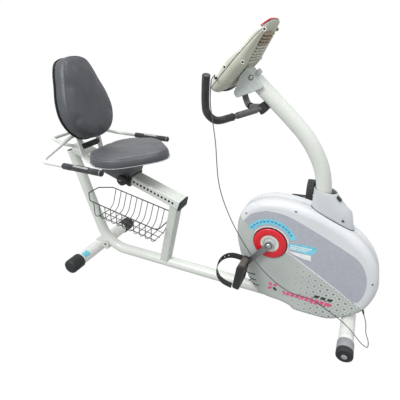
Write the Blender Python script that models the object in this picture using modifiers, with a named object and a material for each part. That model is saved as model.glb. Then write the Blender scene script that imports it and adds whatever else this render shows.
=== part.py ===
"""Recumbent exercise bike: metres, +Z up, +X the way the rider faces, +Y the rider's left."""
import math

import bmesh
import bpy
from mathutils import Matrix, Vector

# ---------------------------------------------------------------- driving dimensions
X_SHIFT = 0.0309          # moves the whole layout so its box is centred on the origin
BEAM_R = 0.030            # main tube
BEAM_Z = 0.0455
TUBE_WALL = 0.0022
REAR_STAB = (-0.742, 0.0420)
FRONT_STAB = (0.751, 0.0360)
REAR_R = 0.036            # floor tubes: radius, and half length without the caps
REAR_HALF = 0.205
FRONT_R = 0.032
FRONT_HALF = 0.188
CRANK = (0.349, 0.380)    # crank axis in X, Z
CRANK_R = 0.165
CRANK_DEG = 232.0
DISC_R = 0.078
WHEEL = (0.612, 0.268)    # flywheel axis in X, Z
WHEEL_R = 0.122
PULLEY_R = 0.125
SMALL_R = 0.024
SHELL = 0.003
RAIL_MID = (-0.333, 0.511)
RAIL_SLOPE = math.radians(18.4)
RAIL_HALF = 0.025
RAIL_WIDE = 0.042
RAIL_X = (-0.828, -0.152)
HOLE_STEP = 0.0224
ARM_Y = 0.304             # armrests
BAR_R = 0.0112
ARM_R = 0.0100
GRIP_R = 0.0150
CONSOLE = (0.161, 1.185)  # middle of the console in X, Z
CONSOLE_TILT = math.radians(41.5)
STRAP_ENDS = {"right": (0.036, -0.056), "left": (0.026, 0.026)}
GAP = 0.0004

HOUSING = [
    (0.178, 0.410), (0.184, 0.470), (0.213, 0.530), (0.275, 0.573), (0.345, 0.592), (0.420, 0.592),
    (0.500, 0.579), (0.600, 0.547), (0.690, 0.499), (0.760, 0.441), (0.809, 0.370), (0.833, 0.290),
    (0.832, 0.222), (0.816, 0.160), (0.792, 0.112), (0.752, 0.078), (0.706, 0.040), (0.660, 0.018),
    (0.600, 0.012), (0.500, 0.012), (0.470, 0.030), (0.420, 0.042), (0.350, 0.048), (0.300, 0.074),
    (0.258, 0.132), (0.222, 0.205), (0.194, 0.300), (0.181, 0.360)]

# ---------------------------------------------------------------- scene set-up
for old in list(bpy.data.objects):
    bpy.data.objects.remove(old, do_unlink=True)
PARTS = bpy.data.collections.new("recumbent_exercise_bike")
CUTTERS = bpy.data.collections.new("cutters")
bpy.context.scene.collection.children.link(PARTS)
bpy.context.scene.collection.children.link(CUTTERS)

COLOURS = {
    "frame": (0.83, 0.84, 0.82, 0.0, 0.35), "housing": (0.84, 0.85, 0.85, 0.0, 0.30),
    "shroud": (0.62, 0.65, 0.66, 0.0, 0.45), "black": (0.035, 0.035, 0.038, 0.0, 0.55),
    "foam": (0.05, 0.05, 0.055, 0.0, 0.85), "vinyl": (0.06, 0.062, 0.068, 0.0, 0.45),
    "red": (0.75, 0.03, 0.05, 0.0, 0.30), "steel": (0.60, 0.61, 0.62, 1.0, 0.30),
    "iron": (0.20, 0.20, 0.21, 0.8, 0.60), "belt": (0.03, 0.03, 0.03, 0.0, 0.80),
    "console": (0.62, 0.63, 0.57, 0.0, 0.45), "cover": (0.56, 0.60, 0.59, 0.0, 0.45),
    "lens": (0.02, 0.03, 0.03, 0.0, 0.10), "carriage": (0.09, 0.095, 0.10, 0.0, 0.50),
    "wire": (0.16, 0.16, 0.17, 0.6, 0.35), "board": (0.05, 0.05, 0.05, 0.0, 0.70)}


def material(slot):
    mat = bpy.data.materials.get(slot)
    if mat is None:
        mat = bpy.data.materials.new(slot)
        mat.use_nodes = True
        red, green, blue, metal, rough = COLOURS[slot]
        bsdf = mat.node_tree.nodes["Principled BSDF"]
        bsdf.inputs["Base Color"].default_value = (red, green, blue, 1.0)
        bsdf.inputs["Metallic"].default_value = metal
        bsdf.inputs["Roughness"].default_value = rough
    return mat


def from_data(name, verts, faces, slot, pivot=(0.0, 0.0, 0.0), coll=None):
    """A named object whose origin is at its pivot."""
    centre = Vector(pivot)
    mesh = bpy.data.meshes.new(name)
    mesh.from_pydata([Vector(v) - centre for v in verts], [], faces)
    bm = bmesh.new()
    bm.from_mesh(mesh)
    bmesh.ops.remove_doubles(bm, verts=bm.verts, dist=0.00001)
    bmesh.ops.recalc_face_normals(bm, faces=bm.faces)
    bm.to_mesh(mesh)
    bm.free()
    obj = bpy.data.objects.new(name, mesh)
    obj.location = centre + Vector((X_SHIFT, 0.0, 0.0))
    (coll or PARTS).objects.link(obj)
    if coll is CUTTERS:
        obj.hide_render = True
        obj.display_type = "WIRE"
    else:
        mesh.materials.append(material(slot))
    return obj


# ---------------------------------------------------------------- shape helpers
def fillet(points, radius, steps=6):
    """Round the corners of an open path."""
    pts = [Vector(p) for p in points]
    radii = radius if isinstance(radius, (list, tuple)) else [radius] * len(pts)
    out = [pts[0]]
    for i in range(1, len(pts) - 1):
        a = (pts[i - 1] - pts[i]).normalized()
        b = (pts[i + 1] - pts[i]).normalized()
        half = a.angle(b) / 2.0
        cut = radii[i] / math.tan(half)
        middle = pts[i] + (a + b).normalized() * (radii[i] / math.sin(half))
        start = pts[i] + a * cut - middle
        end = pts[i] + b * cut - middle
        turn = start.angle(end)
        for k in range(steps + 1):
            t = k / steps
            w0 = math.sin((1.0 - t) * turn) / math.sin(turn)
            w1 = math.sin(t * turn) / math.sin(turn)
            out.append(middle + start * w0 + end * w1)
    out.append(pts[-1])
    return out


def spline(points, steps=4):
    """A smooth path through the given points."""
    pts = [Vector(p) for p in points]
    ext = [pts[0] * 2 - pts[1]] + pts + [pts[-1] * 2 - pts[-2]]
    out = []
    for i in range(1, len(ext) - 2):
        p0, p1, p2, p3 = ext[i - 1], ext[i], ext[i + 1], ext[i + 2]
        for k in range(steps):
            t = k / steps
            a = p1 * 2 + (p2 - p0) * t
            b = (p0 * 2 - p1 * 5 + p2 * 4 - p3) * t * t
            c = (p1 * 3 - p0 - p2 * 3 + p3) * t * t * t
            out.append((a + b + c) / 2)
    out.append(pts[-1])
    return out


def frames(pts):
    """A tangent, side and up direction at each point, carried along without twist."""
    out = []
    side = None
    for i, p in enumerate(pts):
        before = pts[max(i - 1, 0)]
        after = pts[min(i + 1, len(pts) - 1)]
        tangent = (after - before).normalized()
        if side is None:
            ref = Vector((0, 1, 0)) if abs(tangent.y) < 0.9 else Vector((0, 0, 1))
            side = (ref - tangent * ref.dot(tangent)).normalized()
        side = (side - tangent * side.dot(tangent)).normalized()
        out.append((tangent, side, tangent.cross(side)))
    return out


def ring_profile(radius, n):
    angles = [2 * math.pi * k / n for k in range(n)]
    return [(radius * math.cos(a), radius * math.sin(a)) for a in angles]


def rect_profile(w, h, chamfer):
    a, b, c = w / 2, h / 2, chamfer
    upper = [(a, b - c), (a - c, b), (-a + c, b), (-a, b - c)]
    return upper + [(-x, -y) for x, y in upper]


def sweep(name, path, outer, slot, inner=None, pivot=(0, 0, 0), coll=None):
    """A bar along a path, or an open-ended tube when an inner profile is given."""
    pts = [Vector(p) for p in path]
    fr = frames(pts)
    verts, faces = [], []

    def add(profile):
        start = len(verts)
        for p, (tangent, side, up) in zip(pts, fr):
            verts.extend([p + side * u + up * v for u, v in profile])
        return start

    n = len(outer)
    base = add(outer)
    last = base + (len(pts) - 1) * n
    for i in range(len(pts) - 1):
        for k in range(n):
            a, b = base + i * n + k, base + i * n + (k + 1) % n
            faces.append((a, b, b + n, a + n))
    if inner is None:
        faces.append(tuple(range(base, base + n)))
        faces.append(tuple(range(last, last + n)))
        return from_data(name, verts, faces, slot, pivot, coll)
    core = add(inner)
    core_last = core + (len(pts) - 1) * n
    for i in range(len(pts) - 1):
        for k in range(n):
            a, b = core + i * n + k, core + i * n + (k + 1) % n
            faces.append((a, a + n, b + n, b))
    for o, c in ((base, core), (last, core_last)):
        for k in range(n):
            faces.append((o + k, o + (k + 1) % n, c + (k + 1) % n, c + k))
    return from_data(name, verts, faces, slot, pivot, coll)


def tube(name, path, radius, slot, n=16, wall=None, **kw):
    inner = ring_profile(radius - wall, n) if wall else None
    return sweep(name, path, ring_profile(radius, n), slot, inner, **kw)


def turned(name, profile, centre, axis, slot, n=24, pivot=None, coll=None):
    """A body of revolution from (radius, height) pairs; a closed profile makes a ring."""
    axis = Vector(axis).normalized()
    ref = Vector((0, 0, 1)) if abs(axis.z) < 0.9 else Vector((1, 0, 0))
    side = axis.cross(ref).normalized()
    up = axis.cross(side)
    c = Vector(centre)
    solid = profile[0][0] < 1e-7
    verts, faces, index = [], [], []
    for radius, height in profile:
        if radius < 1e-7:
            index.append([len(verts)] * n)
            verts.append(c + axis * height)
            continue
        index.append(list(range(len(verts), len(verts) + n)))
        for k in range(n):
            a = 2 * math.pi * k / n
            verts.append(c + axis * height + (side * math.cos(a) + up * math.sin(a)) * radius)
    rows = list(zip(index, index[1:])) if solid else list(zip(index, index[1:] + index[:1]))
    for r0, r1 in rows:
        for k in range(n):
            j = (k + 1) % n
            face = []
            for v in (r0[k], r0[j], r1[j], r1[k]):
                if v not in face:
                    face.append(v)
            faces.append(tuple(face))
    return from_data(name, verts, faces, slot, pivot or centre, coll)


def cylinder(name, p0, p1, radius, slot, n=20, **kw):
    a, b = Vector(p0), Vector(p1)
    length = (b - a).length
    return turned(name, [(0, 0), (radius, 0), (radius, length), (0, length)], a, b - a, slot, n, **kw)


def prism(name, outline, y0, y1, slot, pivot=(0, 0, 0), coll=None, matrix=None):
    """An outline in X, Z pushed along Y."""
    n = len(outline)
    verts = [(x, y0, z) for x, z in outline] + [(x, y1, z) for x, z in outline]
    if matrix is not None:
        verts = [matrix @ Vector(v) for v in verts]
    faces = [tuple(range(n)), tuple(range(n, 2 * n))]
    faces += [(k, (k + 1) % n, n + (k + 1) % n, n + k) for k in range(n)]
    return from_data(name, verts, faces, slot, pivot, coll)


def loft(name, rings, slot, pivot=(0, 0, 0), closed=False, coll=None):
    """Skin a list of equal rings; closed joins the last ring to the first."""
    n = len(rings[0])
    verts = [v for ring in rings for v in ring]
    faces = []
    pairs = [(i, i + 1) for i in range(len(rings) - 1)]
    if closed:
        pairs.append((len(rings) - 1, 0))
    for i, j in pairs:
        for k in range(n):
            faces.append((i * n + k, i * n + (k + 1) % n, j * n + (k + 1) % n, j * n + k))
    if not closed:
        faces.append(tuple(range(n)))
        faces.append(tuple(range((len(rings) - 1) * n, len(rings) * n)))
    return from_data(name, verts, faces, slot, pivot, coll)


def box(name, centre, size, slot, tilt=0.0, chamfer=0.0, pivot=(0, 0, 0), coll=None):
    """A block, tilted about Y, its long edges along Y chamfered."""
    sx, sy, sz = size
    c = max(chamfer, 0.0)
    outline = rect_profile(sx, sz, c) if c else [(sx / 2, -sz / 2), (sx / 2, sz / 2), (-sx / 2, sz / 2),
                                                 (-sx / 2, -sz / 2)]
    turn = Matrix.Translation(Vector(centre)) @ Matrix.Rotation(tilt, 4, "Y")
    return prism(name, outline, -sy / 2, sy / 2, slot, pivot, coll, turn)


def bevel(obj, width, segments=2, angle=35):
    mod = obj.modifiers.new("bevel", "BEVEL")
    mod.width = width
    mod.segments = segments
    mod.limit_method = "ANGLE"
    mod.angle_limit = math.radians(angle)
    return obj


def cut(obj, cutter, operation="DIFFERENCE"):
    mod = obj.modifiers.new("bool", "BOOLEAN")
    mod.operation = operation
    mod.solver = "EXACT"
    mod.object = cutter
    return obj


def inset(outline, amount):
    """Move an anticlockwise or clockwise outline inwards."""
    area = sum(a[0] * b[1] - b[0] * a[1] for a, b in zip(outline, outline[1:] + outline[:1]))
    sign = 1.0 if area > 0 else -1.0
    out = []
    n = len(outline)
    for i, p in enumerate(outline):
        a, b = Vector(outline[i - 1]), Vector(outline[(i + 1) % n])
        q = Vector(p)
        e0, e1 = (q - a).normalized(), (b - q).normalized()
        n0, n1 = Vector((-e0.y, e0.x)) * sign, Vector((-e1.y, e1.x)) * sign
        m = (n0 + n1).normalized()
        scale = amount / max(m.dot(n0), 0.5)
        out.append((q.x + m.x * scale, q.y + m.y * scale))
    return out


def smooth_outline(points, steps=2):
    """A closed smooth outline through the points."""
    n = len(points)
    out = []
    for i in range(n):
        p0, p1, p2, p3 = (Vector(points[(i + k - 1) % n]) for k in range(4))
        for k in range(steps):
            t = k / steps
            q = (p1 * 2 + (p2 - p0) * t + (p0 * 2 - p1 * 5 + p2 * 4 - p3) * t * t
                 + (p1 * 3 - p0 - p2 * 3 + p3) * t * t * t) / 2
            out.append((q.x, q.y))
    return out


def rail_point(x):
    return RAIL_MID[1] - (x - RAIL_MID[0]) * math.tan(RAIL_SLOPE)


def both(make):
    """Build a part on the right and on the left."""
    make("right", -1.0)
    make("left", 1.0)


# ---------------------------------------------------------------- frame
def build_frame():
    path = fillet([(0.712, 0, BEAM_Z), (-0.686, 0, BEAM_Z), (-0.868, 0, 0.652)], 0.175, 10)
    beam = tube("main_beam", path, BEAM_R, "frame", 14, TUBE_WALL)
    nose = cylinder("beam_cutter", (FRONT_STAB[0], -0.1, FRONT_STAB[1]),
                    (FRONT_STAB[0], 0.1, FRONT_STAB[1]),
                    FRONT_R + GAP, "frame", 40, coll=CUTTERS)
    cut(beam, nose)
    rail_x = RAIL_X[0] + 0.20 * math.cos(RAIL_SLOPE) - 0.0004
    rail_cut = box("rail_cutter", (rail_x, 0, rail_point(rail_x)),
                   (0.40, 2 * RAIL_WIDE + 2 * GAP, 2 * RAIL_HALF + 2 * GAP),
                   "frame", RAIL_SLOPE, coll=CUTTERS)
    cut(beam, rail_cut)
    low = Vector((-0.2675, 0, BEAM_Z))
    high = Vector((-0.1860, 0, 0.440))
    strut = sweep("front_strut", [low, high], rect_profile(0.064, 0.048, 0.004), "frame",
                  rect_profile(0.060, 0.044, 0.003))
    beam_cut = cylinder("strut_cutter", (-0.5, 0, BEAM_Z), (0.0, 0, BEAM_Z), BEAM_R + GAP, "frame", 60,
                        coll=CUTTERS)
    cut(strut, beam_cut)
    under = box("strut_top_cutter", (RAIL_MID[0] + 0.13, 0, rail_point(RAIL_MID[0] + 0.13)),
                (0.40, 0.10, 2 * RAIL_HALF + 2 * GAP), "frame", RAIL_SLOPE, coll=CUTTERS)
    cut(strut, under)


def build_rail():
    a = Vector((RAIL_X[0], 0, rail_point(RAIL_X[0])))
    b = Vector((RAIL_X[1], 0, rail_point(RAIL_X[1])))
    rail = sweep("seat_rail", [a, b], rect_profile(2 * RAIL_WIDE, 2 * RAIL_HALF, 0.003), "frame",
                 rect_profile(2 * RAIL_WIDE - 0.005, 2 * RAIL_HALF - 0.005, 0.002))
    verts, faces = [], []
    along = (b - a).normalized()
    up = Vector((math.sin(RAIL_SLOPE), 0, math.cos(RAIL_SLOPE)))
    for i in range(14):
        centre = b - along * (0.036 + i * HOLE_STEP)
        base = len(verts)
        for y in (-0.06, 0.06):
            for k in range(8):
                t = 2 * math.pi * k / 8
                verts.append(centre + (along * math.cos(t) + up * math.sin(t)) * 0.0047 + Vector((0, y, 0)))
        faces.append(tuple(range(base, base + 8)))
        faces.append(tuple(range(base + 8, base + 16)))
        faces += [(base + k, base + (k + 1) % 8, base + 8 + (k + 1) % 8, base + 8 + k) for k in range(8)]
    cut(rail, from_data("hole_cutter", verts, faces, "frame", (0, 0, 0), CUTTERS))
    face = b + along * GAP
    turn = Matrix.Translation(face) @ Matrix.Rotation(RAIL_SLOPE, 4, "Y")
    h = RAIL_HALF + 0.002
    w = RAIL_WIDE + 0.002
    prism("rail_end_cap", [(0, -h), (0.010, -h), (0.014, -h + 0.006), (0.009, h), (0, h)], -w, w, "black",
          matrix=turn)


def build_stabilizers():
    x, z = REAR_STAB
    tube("rear_stabilizer", [(x, -REAR_HALF, z), (x, REAR_HALF, z)], REAR_R, "frame", 24, TUBE_WALL)
    x, z = FRONT_STAB
    tube("front_stabilizer", [(x, -FRONT_HALF, z), (x, FRONT_HALF, z)], FRONT_R, "frame", 24, TUBE_WALL)

    def caps(side, s):
        x, z = REAR_STAB
        profile = [(0, 0.0), (0.0390, 0.0), (0.0420, 0.006), (0.0420, 0.078), (0.036, 0.087), (0, 0.0895)]
        turned("rear_cap_" + side, profile, (x, s * (REAR_HALF + GAP), z), (0, s, 0), "black", 24)
        x, z = FRONT_STAB
        profile = [(0, 0.0), (0.0345, 0.0), (0.0358, 0.003), (0.0358, 0.045), (0.0330, 0.048),
                   (0.0056, 0.048),
                   (0.0056, 0.0785), (0.0125, 0.0785), (0.0110, 0.0840), (0, 0.0850)]
        turned("front_cap_" + side, profile, (x, s * (FRONT_HALF + GAP), z), (0, s, 0), "black", 24)
        wheel = [(0.0062, 0.0490), (0.0320, 0.0490), (0.0360, 0.0520), (0.0360, 0.0735), (0.0315, 0.0775),
                 (0.0062, 0.0775)]
        turned("transport_wheel_" + side, wheel, (x, s * (FRONT_HALF + GAP), z), (0, s, 0), "black", 28)

    both(caps)
    saddle = box("rear_saddle", (REAR_STAB[0] + 0.032, 0, 0.064), (0.092, 0.074, 0.064), "frame", 0.0,
                 0.010)
    cut(saddle, cylinder("saddle_cutter_a", (REAR_STAB[0], -0.1, REAR_STAB[1]),
                         (REAR_STAB[0], 0.1, REAR_STAB[1]),
                         REAR_R + GAP, "frame", 40, coll=CUTTERS))
    path = fillet([(0.3, 0, BEAM_Z), (-0.686, 0, BEAM_Z), (-0.868, 0, 0.652)], 0.175, 12)
    cut(saddle, tube("saddle_cutter_b", path, BEAM_R + GAP, "frame", 40, coll=CUTTERS))


# ---------------------------------------------------------------- drive inside the housing
def build_drive():
    cx, cz = CRANK
    axle = [(0, -0.1085), (0.006, -0.1080), (0.0105, -0.1055), (0.0120, -0.1010), (0.0075, -0.1008),
            (0.0075, -0.0877),
            (0.0085, -0.0874), (0.0085, 0.0874), (0.0075, 0.0877), (0.0075, 0.1008), (0.0120, 0.1010),
            (0.0105, 0.1055), (0.006, 0.1080), (0, 0.1085)]
    turned("crank_axle", axle, (cx, 0, cz), (0, 1, 0), "steel", 16)
    shell = [(0.0172, -0.034), (0.0210, -0.034), (0.0210, 0.012), (0.0172, 0.012)]
    bracket = turned("bottom_bracket", shell, (cx, 0, cz), (0, 1, 0), "frame", 28)
    foot = prism("bracket_cutter", [(cx - 0.030, 0.060), (cx + 0.075, 0.060), (cx + 0.018, cz - 0.002),
                                    (cx - 0.018, cz - 0.002)], -0.016, 0.004, "frame", coll=CUTTERS)
    cut(foot, cylinder("bracket_bore", (cx, -0.06, cz), (cx, 0.06, cz), 0.0190, "frame", 28, coll=CUTTERS))
    cut(foot, cylinder("bracket_seat", (0.0, 0, BEAM_Z), (0.7, 0, BEAM_Z), BEAM_R + GAP, "frame", 60,
                       coll=CUTTERS))
    cut(bracket, foot, "UNION")
    for side, y in (("right", -0.033), ("left", 0.002)):
        ring = [(0.0088, 0.0), (0.0169, 0.0), (0.0169, 0.009), (0.0088, 0.009)]
        turned("bearing_" + side, ring, (cx, y, cz), (0, 1, 0), "steel", 16)
    r = PULLEY_R
    pulley = [(0.0088, 0.014), (0.024, 0.014), (0.024, 0.021), (r - 0.018, 0.021), (r - 0.018, 0.018),
              (r, 0.018),
              (r, 0.029), (r - 0.018, 0.029), (r - 0.018, 0.025), (0.024, 0.025), (0.024, 0.032),
              (0.0088, 0.032)]
    turned("drive_pulley", pulley, (cx, 0, cz), (0, 1, 0), "black", 28)
    wx, wz = WHEEL
    big = WHEEL_R
    fly = [(0.0066, -0.0290), (0.030, -0.0290), (0.034, -0.0200), (big - 0.034, -0.0200),
           (big - 0.030, -0.0290),
           (big, -0.0290), (big, -0.0040), (big - 0.030, -0.0040), (big - 0.034, -0.0120), (0.030, -0.0120),
           (SMALL_R, -0.0040), (SMALL_R, 0.0290), (0.0066, 0.0290)]
    turned("flywheel", fly, (wx, 0, wz), (0, 1, 0), "iron", 28)
    cylinder("flywheel_axle", (wx, -0.052, wz), (wx, 0.052, wz), 0.0062, "steel", 16, pivot=(wx, 0, wz))
    for side, y0, y1 in (("right", -0.0370, -0.0330), ("left", 0.0330, 0.0370)):
        outline = [(0.488, 0.030), (0.655, 0.030), (0.650, 0.290), (0.585, 0.330), (0.578, 0.500),
                   (0.512, 0.500)]
        plate = prism("drive_plate_" + side, outline, y0, y1, "frame")
        cut(plate, cylinder("plate_cutter_" + side, (wx, -0.1, wz), (wx, 0.1, wz), 0.0066, "frame", 20,
                            coll=CUTTERS))
    shoe = []
    for k in range(9):
        a = math.radians(-35 + k * 14)
        shoe.append((wx + (big + 0.006) * math.cos(a), wz + (big + 0.006) * math.sin(a)))
    for k in range(8, -1, -1):
        a = math.radians(-35 + k * 14)
        shoe.append((wx + (big + 0.018) * math.cos(a), wz + (big + 0.018) * math.sin(a)))
    build_belt()
    prism("brake_magnet", shoe, -0.031, -0.002, "steel")


def belt_outline(r_big, r_small):
    """Outline of a belt round two wheels."""
    cx, cz = CRANK
    wx, wz = WHEEL
    dist = math.hypot(wx - cx, wz - cz)
    base = math.atan2(wz - cz, wx - cx)
    lean = math.acos((r_big - r_small) / dist)
    out = []
    for k in range(25):
        a = base + lean + (2 * math.pi - 2 * lean) * k / 24
        out.append((cx + r_big * math.cos(a), cz + r_big * math.sin(a)))
    for k in range(11):
        a = base - lean + 2 * lean * k / 10
        out.append((wx + r_small * math.cos(a), wz + r_small * math.sin(a)))
    return out


def build_belt():
    inner = belt_outline(PULLEY_R + GAP, SMALL_R + GAP)
    outer = belt_outline(PULLEY_R + 0.0026, SMALL_R + 0.0026)
    rings = []
    for outline, y in ((inner, 0.0195), (outer, 0.0195), (outer, 0.0275), (inner, 0.0275)):
        rings.append([(x, y, z) for x, z in outline])
    loft("belt", rings, "belt", closed=True)
    base = math.atan2(WHEEL[1] - CRANK[1], WHEEL[0] - CRANK[0])
    dist = math.hypot(WHEEL[0] - CRANK[0], WHEEL[1] - CRANK[1])
    lean = math.acos((PULLEY_R - SMALL_R) / dist)
    a = base - lean
    reach = PULLEY_R + 0.0026 + GAP + 0.018
    foot = (CRANK[0] + reach * math.cos(a), CRANK[1] + reach * math.sin(a))
    along = math.sqrt(dist ** 2 - (PULLEY_R - SMALL_R) ** 2) * 0.60
    ix = foot[0] - math.sin(a) * along
    iz = foot[1] + math.cos(a) * along
    ring = [(0.0052, 0.019), (0.018, 0.019), (0.018, 0.028), (0.0052, 0.028)]
    turned("idler_wheel", ring, (ix, 0, iz), (0, 1, 0), "black", 16)
    arm = cylinder("idler_cutter", (ix, 0.0165, iz), (ix, 0.0350, iz), 0.0048, "steel", 16, coll=CUTTERS)
    cut(PARTS.objects["drive_plate_left"], arm, "UNION")


# ---------------------------------------------------------------- cranks and pedals
def pedal_centre(s):
    a = math.radians(CRANK_DEG if s < 0 else CRANK_DEG + 180.0)
    return CRANK[0] + CRANK_R * math.cos(a), CRANK[1] + CRANK_R * math.sin(a)


def build_cranks():
    cx, cz = CRANK

    def side_parts(side, s):
        disc = [(0.0094, 0.0), (0.0500, 0.0), (0.0520, 0.0005), (DISC_R - 0.004, 0.0005), (DISC_R, 0.003),
                (DISC_R, 0.0065), (DISC_R - 0.006, 0.0100), (0.054, 0.0110), (0.050, 0.0080),
                (0.0094, 0.0080)]
        turned("crank_disc_" + side, disc, (cx, s * 0.0700, cz), (0, s, 0), "red", 28)
        px, pz = pedal_centre(s)
        a = Vector((cx, 0, cz))
        b = Vector((px, 0, pz))
        d = (b - a).normalized()
        n = Vector((-d.z, 0, d.x))
        outline = []
        for k in range(9):
            t = math.pi * k / 8
            q = a - d * 0.0165 * math.sin(t) + n * 0.0165 * math.cos(t)
            outline.append((q.x, q.z))
        for k in range(9):
            t = math.pi * k / 8
            q = b + d * 0.0120 * math.sin(t) - n * 0.0120 * math.cos(t)
            outline.append((q.x, q.z))
        y0, y1 = s * 0.0880, s * 0.1005
        arm = prism("crank_arm_" + side, outline, min(y0, y1), max(y0, y1), "steel", (cx, 0, cz))
        cut(arm, cylinder("arm_bore_" + side, (cx, s * 0.07, cz), (cx, s * 0.12, cz), 0.0080, "steel", 24,
                          coll=CUTTERS))
        spindle = turned("spindle_cutter_" + side,
                         [(0, 0.094), (0.0078, 0.094), (0.0078, 0.110), (0.0058, 0.112),
                                                    (0.0058, 0.2142), (0, 0.2142)], (px, 0, pz), (0, s, 0),
                                                   "steel", 16,
                         coll=CUTTERS)
        cut(arm, spindle, "UNION")
        build_pedal(side, s, px, pz)

    both(side_parts)


def build_pedal(side, s, px, pz):
    """Pedal body round its spindle, and its strap; the right one hangs on edge, the left lies flat."""
    tilt = math.radians(-82.0) if s < 0 else math.radians(-4.0)
    turn = Matrix.Translation(Vector((px, 0, pz))) @ Matrix.Rotation(tilt, 4, "Y")
    shape = [(-0.074, -0.011), (-0.066, -0.017), (0.048, -0.017), (0.057, -0.010), (0.057, 0.010),
             (0.048, 0.017),
             (-0.066, 0.017), (-0.074, 0.011)]
    lo, hi = sorted((s * 0.1130, s * 0.2160))
    body = prism("pedal_" + side, shape, lo, hi, "black", (px, 0, pz), matrix=turn)
    cut(body, cylinder("pedal_bore_" + side, (px, s * 0.10, pz), (px, s * 0.2150, pz), 0.0082, "black", 20,
                       coll=CUTTERS))
    for i, x in enumerate((-0.0350, 0.0290)):
        wide = (0.034, 0.066, 0.08) if i == 0 else (0.022, 0.066, 0.08)
        w = box("pedal_window_%s_%d" % (side, i), (0, 0, 0), wide, "black", coll=CUTTERS)
        place = turn @ Matrix.Translation(Vector((x, 0, 0)))
        w.matrix_world = Matrix.Translation(Vector((X_SHIFT, s * 0.1645, 0))) @ place
        cut(body, w)
    run = STRAP_ENDS[side]
    arch = []
    for k in range(17):
        t = math.pi * k / 16
        flat = 0.100 * math.sin(t) ** 0.7 if 0 < k < 16 else 0.0
        x = run[0] + (run[1] - run[0]) * 0.5 * (1.0 - math.cos(t))
        arch.append(Vector((x, s * (0.0040 - 0.0535 * math.cos(t)), 0.0185 + flat)))
    path = [turn @ Vector((p.x, p.y + s * 0.1645, p.z)) for p in arch]
    across = turn.to_3x3() @ Vector((1, 0, 0))
    verts, faces = [], []
    for i, p in enumerate(path):
        before, after = path[max(i - 1, 0)], path[min(i + 1, len(path) - 1)]
        normal = (after - before).normalized().cross(across).normalized()
        for u, v in ((-0.016, -0.0011), (0.016, -0.0011), (0.016, 0.0011), (-0.016, 0.0011)):
            verts.append(p + across * u + normal * v)
    for i in range(len(path) - 1):
        for k in range(4):
            faces.append((i * 4 + k, i * 4 + (k + 1) % 4, i * 4 + 4 + (k + 1) % 4, i * 4 + 4 + k))
    faces.append((0, 1, 2, 3))
    faces.append(tuple(len(verts) - 4 + k for k in range(4)))
    from_data("pedal_strap_" + side, verts, faces, "black", (px, 0, pz))


# ---------------------------------------------------------------- housing and mast
MAST = [(0.545, 0, 0.455), (0.546, 0, 0.560), (0.543, 0, 0.650), (0.523, 0, 0.742), (0.485, 0, 0.820),
        (0.432, 0, 0.890), (0.362, 0, 0.957), (0.290, 0, 1.020), (0.230, 0, 1.073), (0.192, 0, 1.106)]


def build_housing():
    outer = smooth_outline(HOUSING, 2)
    cx, cz = CRANK
    skin = ((0.0, 0.0), (0.0, 0.050), (0.0065, 0.0640), (0.018, 0.0700))
    inner = ((0.020, 0.0670), (0.0090, 0.0615), (SHELL, 0.049), (SHELL, 0.0))
    n = len(outer)
    m = len(skin)
    rows = [(i, i + 1) for i in range(m - 1)] + [(i, i + 1) for i in range(m, 2 * m - 1)] + [(2 * m - 1, 0)]
    for side, s in (("right", -1.0), ("left", 1.0)):
        verts = []
        for amount, y in skin + inner:
            outline = inset(outer, amount) if amount else outer
            verts.extend([(x, s * max(y, 0.0003), z) for x, z in outline])
        faces = [tuple(range((m - 1) * n, m * n)), tuple(range(m * n, (m + 1) * n))]
        for i, j in rows:
            for k in range(n):
                faces.append((i * n + k, i * n + (k + 1) % n, j * n + (k + 1) % n, j * n + k))
        shell = from_data("housing_" + side, verts, faces, "housing")
        cut(shell, cylinder("disc_cutter_" + side, (cx, s * 0.05, cz), (cx, s * 0.09, cz), DISC_R + 0.004,
                            "housing", 36,
                            coll=CUTTERS))
        cut(shell, cylinder("beam_slot_" + side, (0.1, 0, BEAM_Z), (0.9, 0, BEAM_Z), BEAM_R + 0.0012,
                            "housing", 24,
                            coll=CUTTERS))
        cut(shell, cylinder("mast_slot_" + side, (0.5455, 0, 0.45), (0.5425, 0, 0.70), 0.0345, "housing",
                            20,
                            coll=CUTTERS))
        cut(shell, cylinder("foot_slot_" + side, (FRONT_STAB[0], s * -0.1, FRONT_STAB[1]),
                            (FRONT_STAB[0], s * 0.1, FRONT_STAB[1]), FRONT_R + 0.0015, "housing", 32,
                            coll=CUTTERS))


def housing_top(x):
    outer = smooth_outline(HOUSING, 2)
    best = 0.0
    for a, b in zip(outer, outer[1:] + outer[:1]):
        if min(a[0], b[0]) <= x <= max(a[0], b[0]) and abs(a[0] - b[0]) > 1e-9:
            t = (x - a[0]) / (b[0] - a[0])
            best = max(best, a[1] + (b[1] - a[1]) * t)
    return best


def build_mast():
    tube("mast", spline(MAST, 2), 0.0320, "frame", 14, TUBE_WALL)
    n = 24
    rings = []

    def station(cx, rx, ry, height, lift, follow):
        ring = []
        for k in range(n):
            a = 2 * math.pi * k / n
            x = cx + rx * math.cos(a)
            z = housing_top(x) + lift if follow else height + (x - cx) * -0.10
            ring.append((x, ry * math.sin(a), z))
        return ring

    plan = [(0.5960, 0.0950, 0.0470, 0, 0.0008, True), (0.5940, 0.0930, 0.0480, 0, 0.014, True),
            (0.5740, 0.0730, 0.0465, 0.606, 0, False), (0.5560, 0.0550, 0.0430, 0.645, 0, False),
            (0.5500, 0.0490, 0.0405, 0.662, 0, False)]
    inside = [(0.5500, 0.0460, 0.0375, 0.662, 0, False), (0.5560, 0.0520, 0.0400, 0.644, 0, False),
              (0.5740, 0.0700, 0.0435, 0.603, 0, False), (0.5940, 0.0900, 0.0450, 0, 0.011, True),
              (0.5955, 0.0915, 0.0440, 0, 0.0008, True)]
    for row in plan + inside:
        rings.append(station(*row))
    loft("mast_shroud", rings, "shroud", closed=True)


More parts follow.
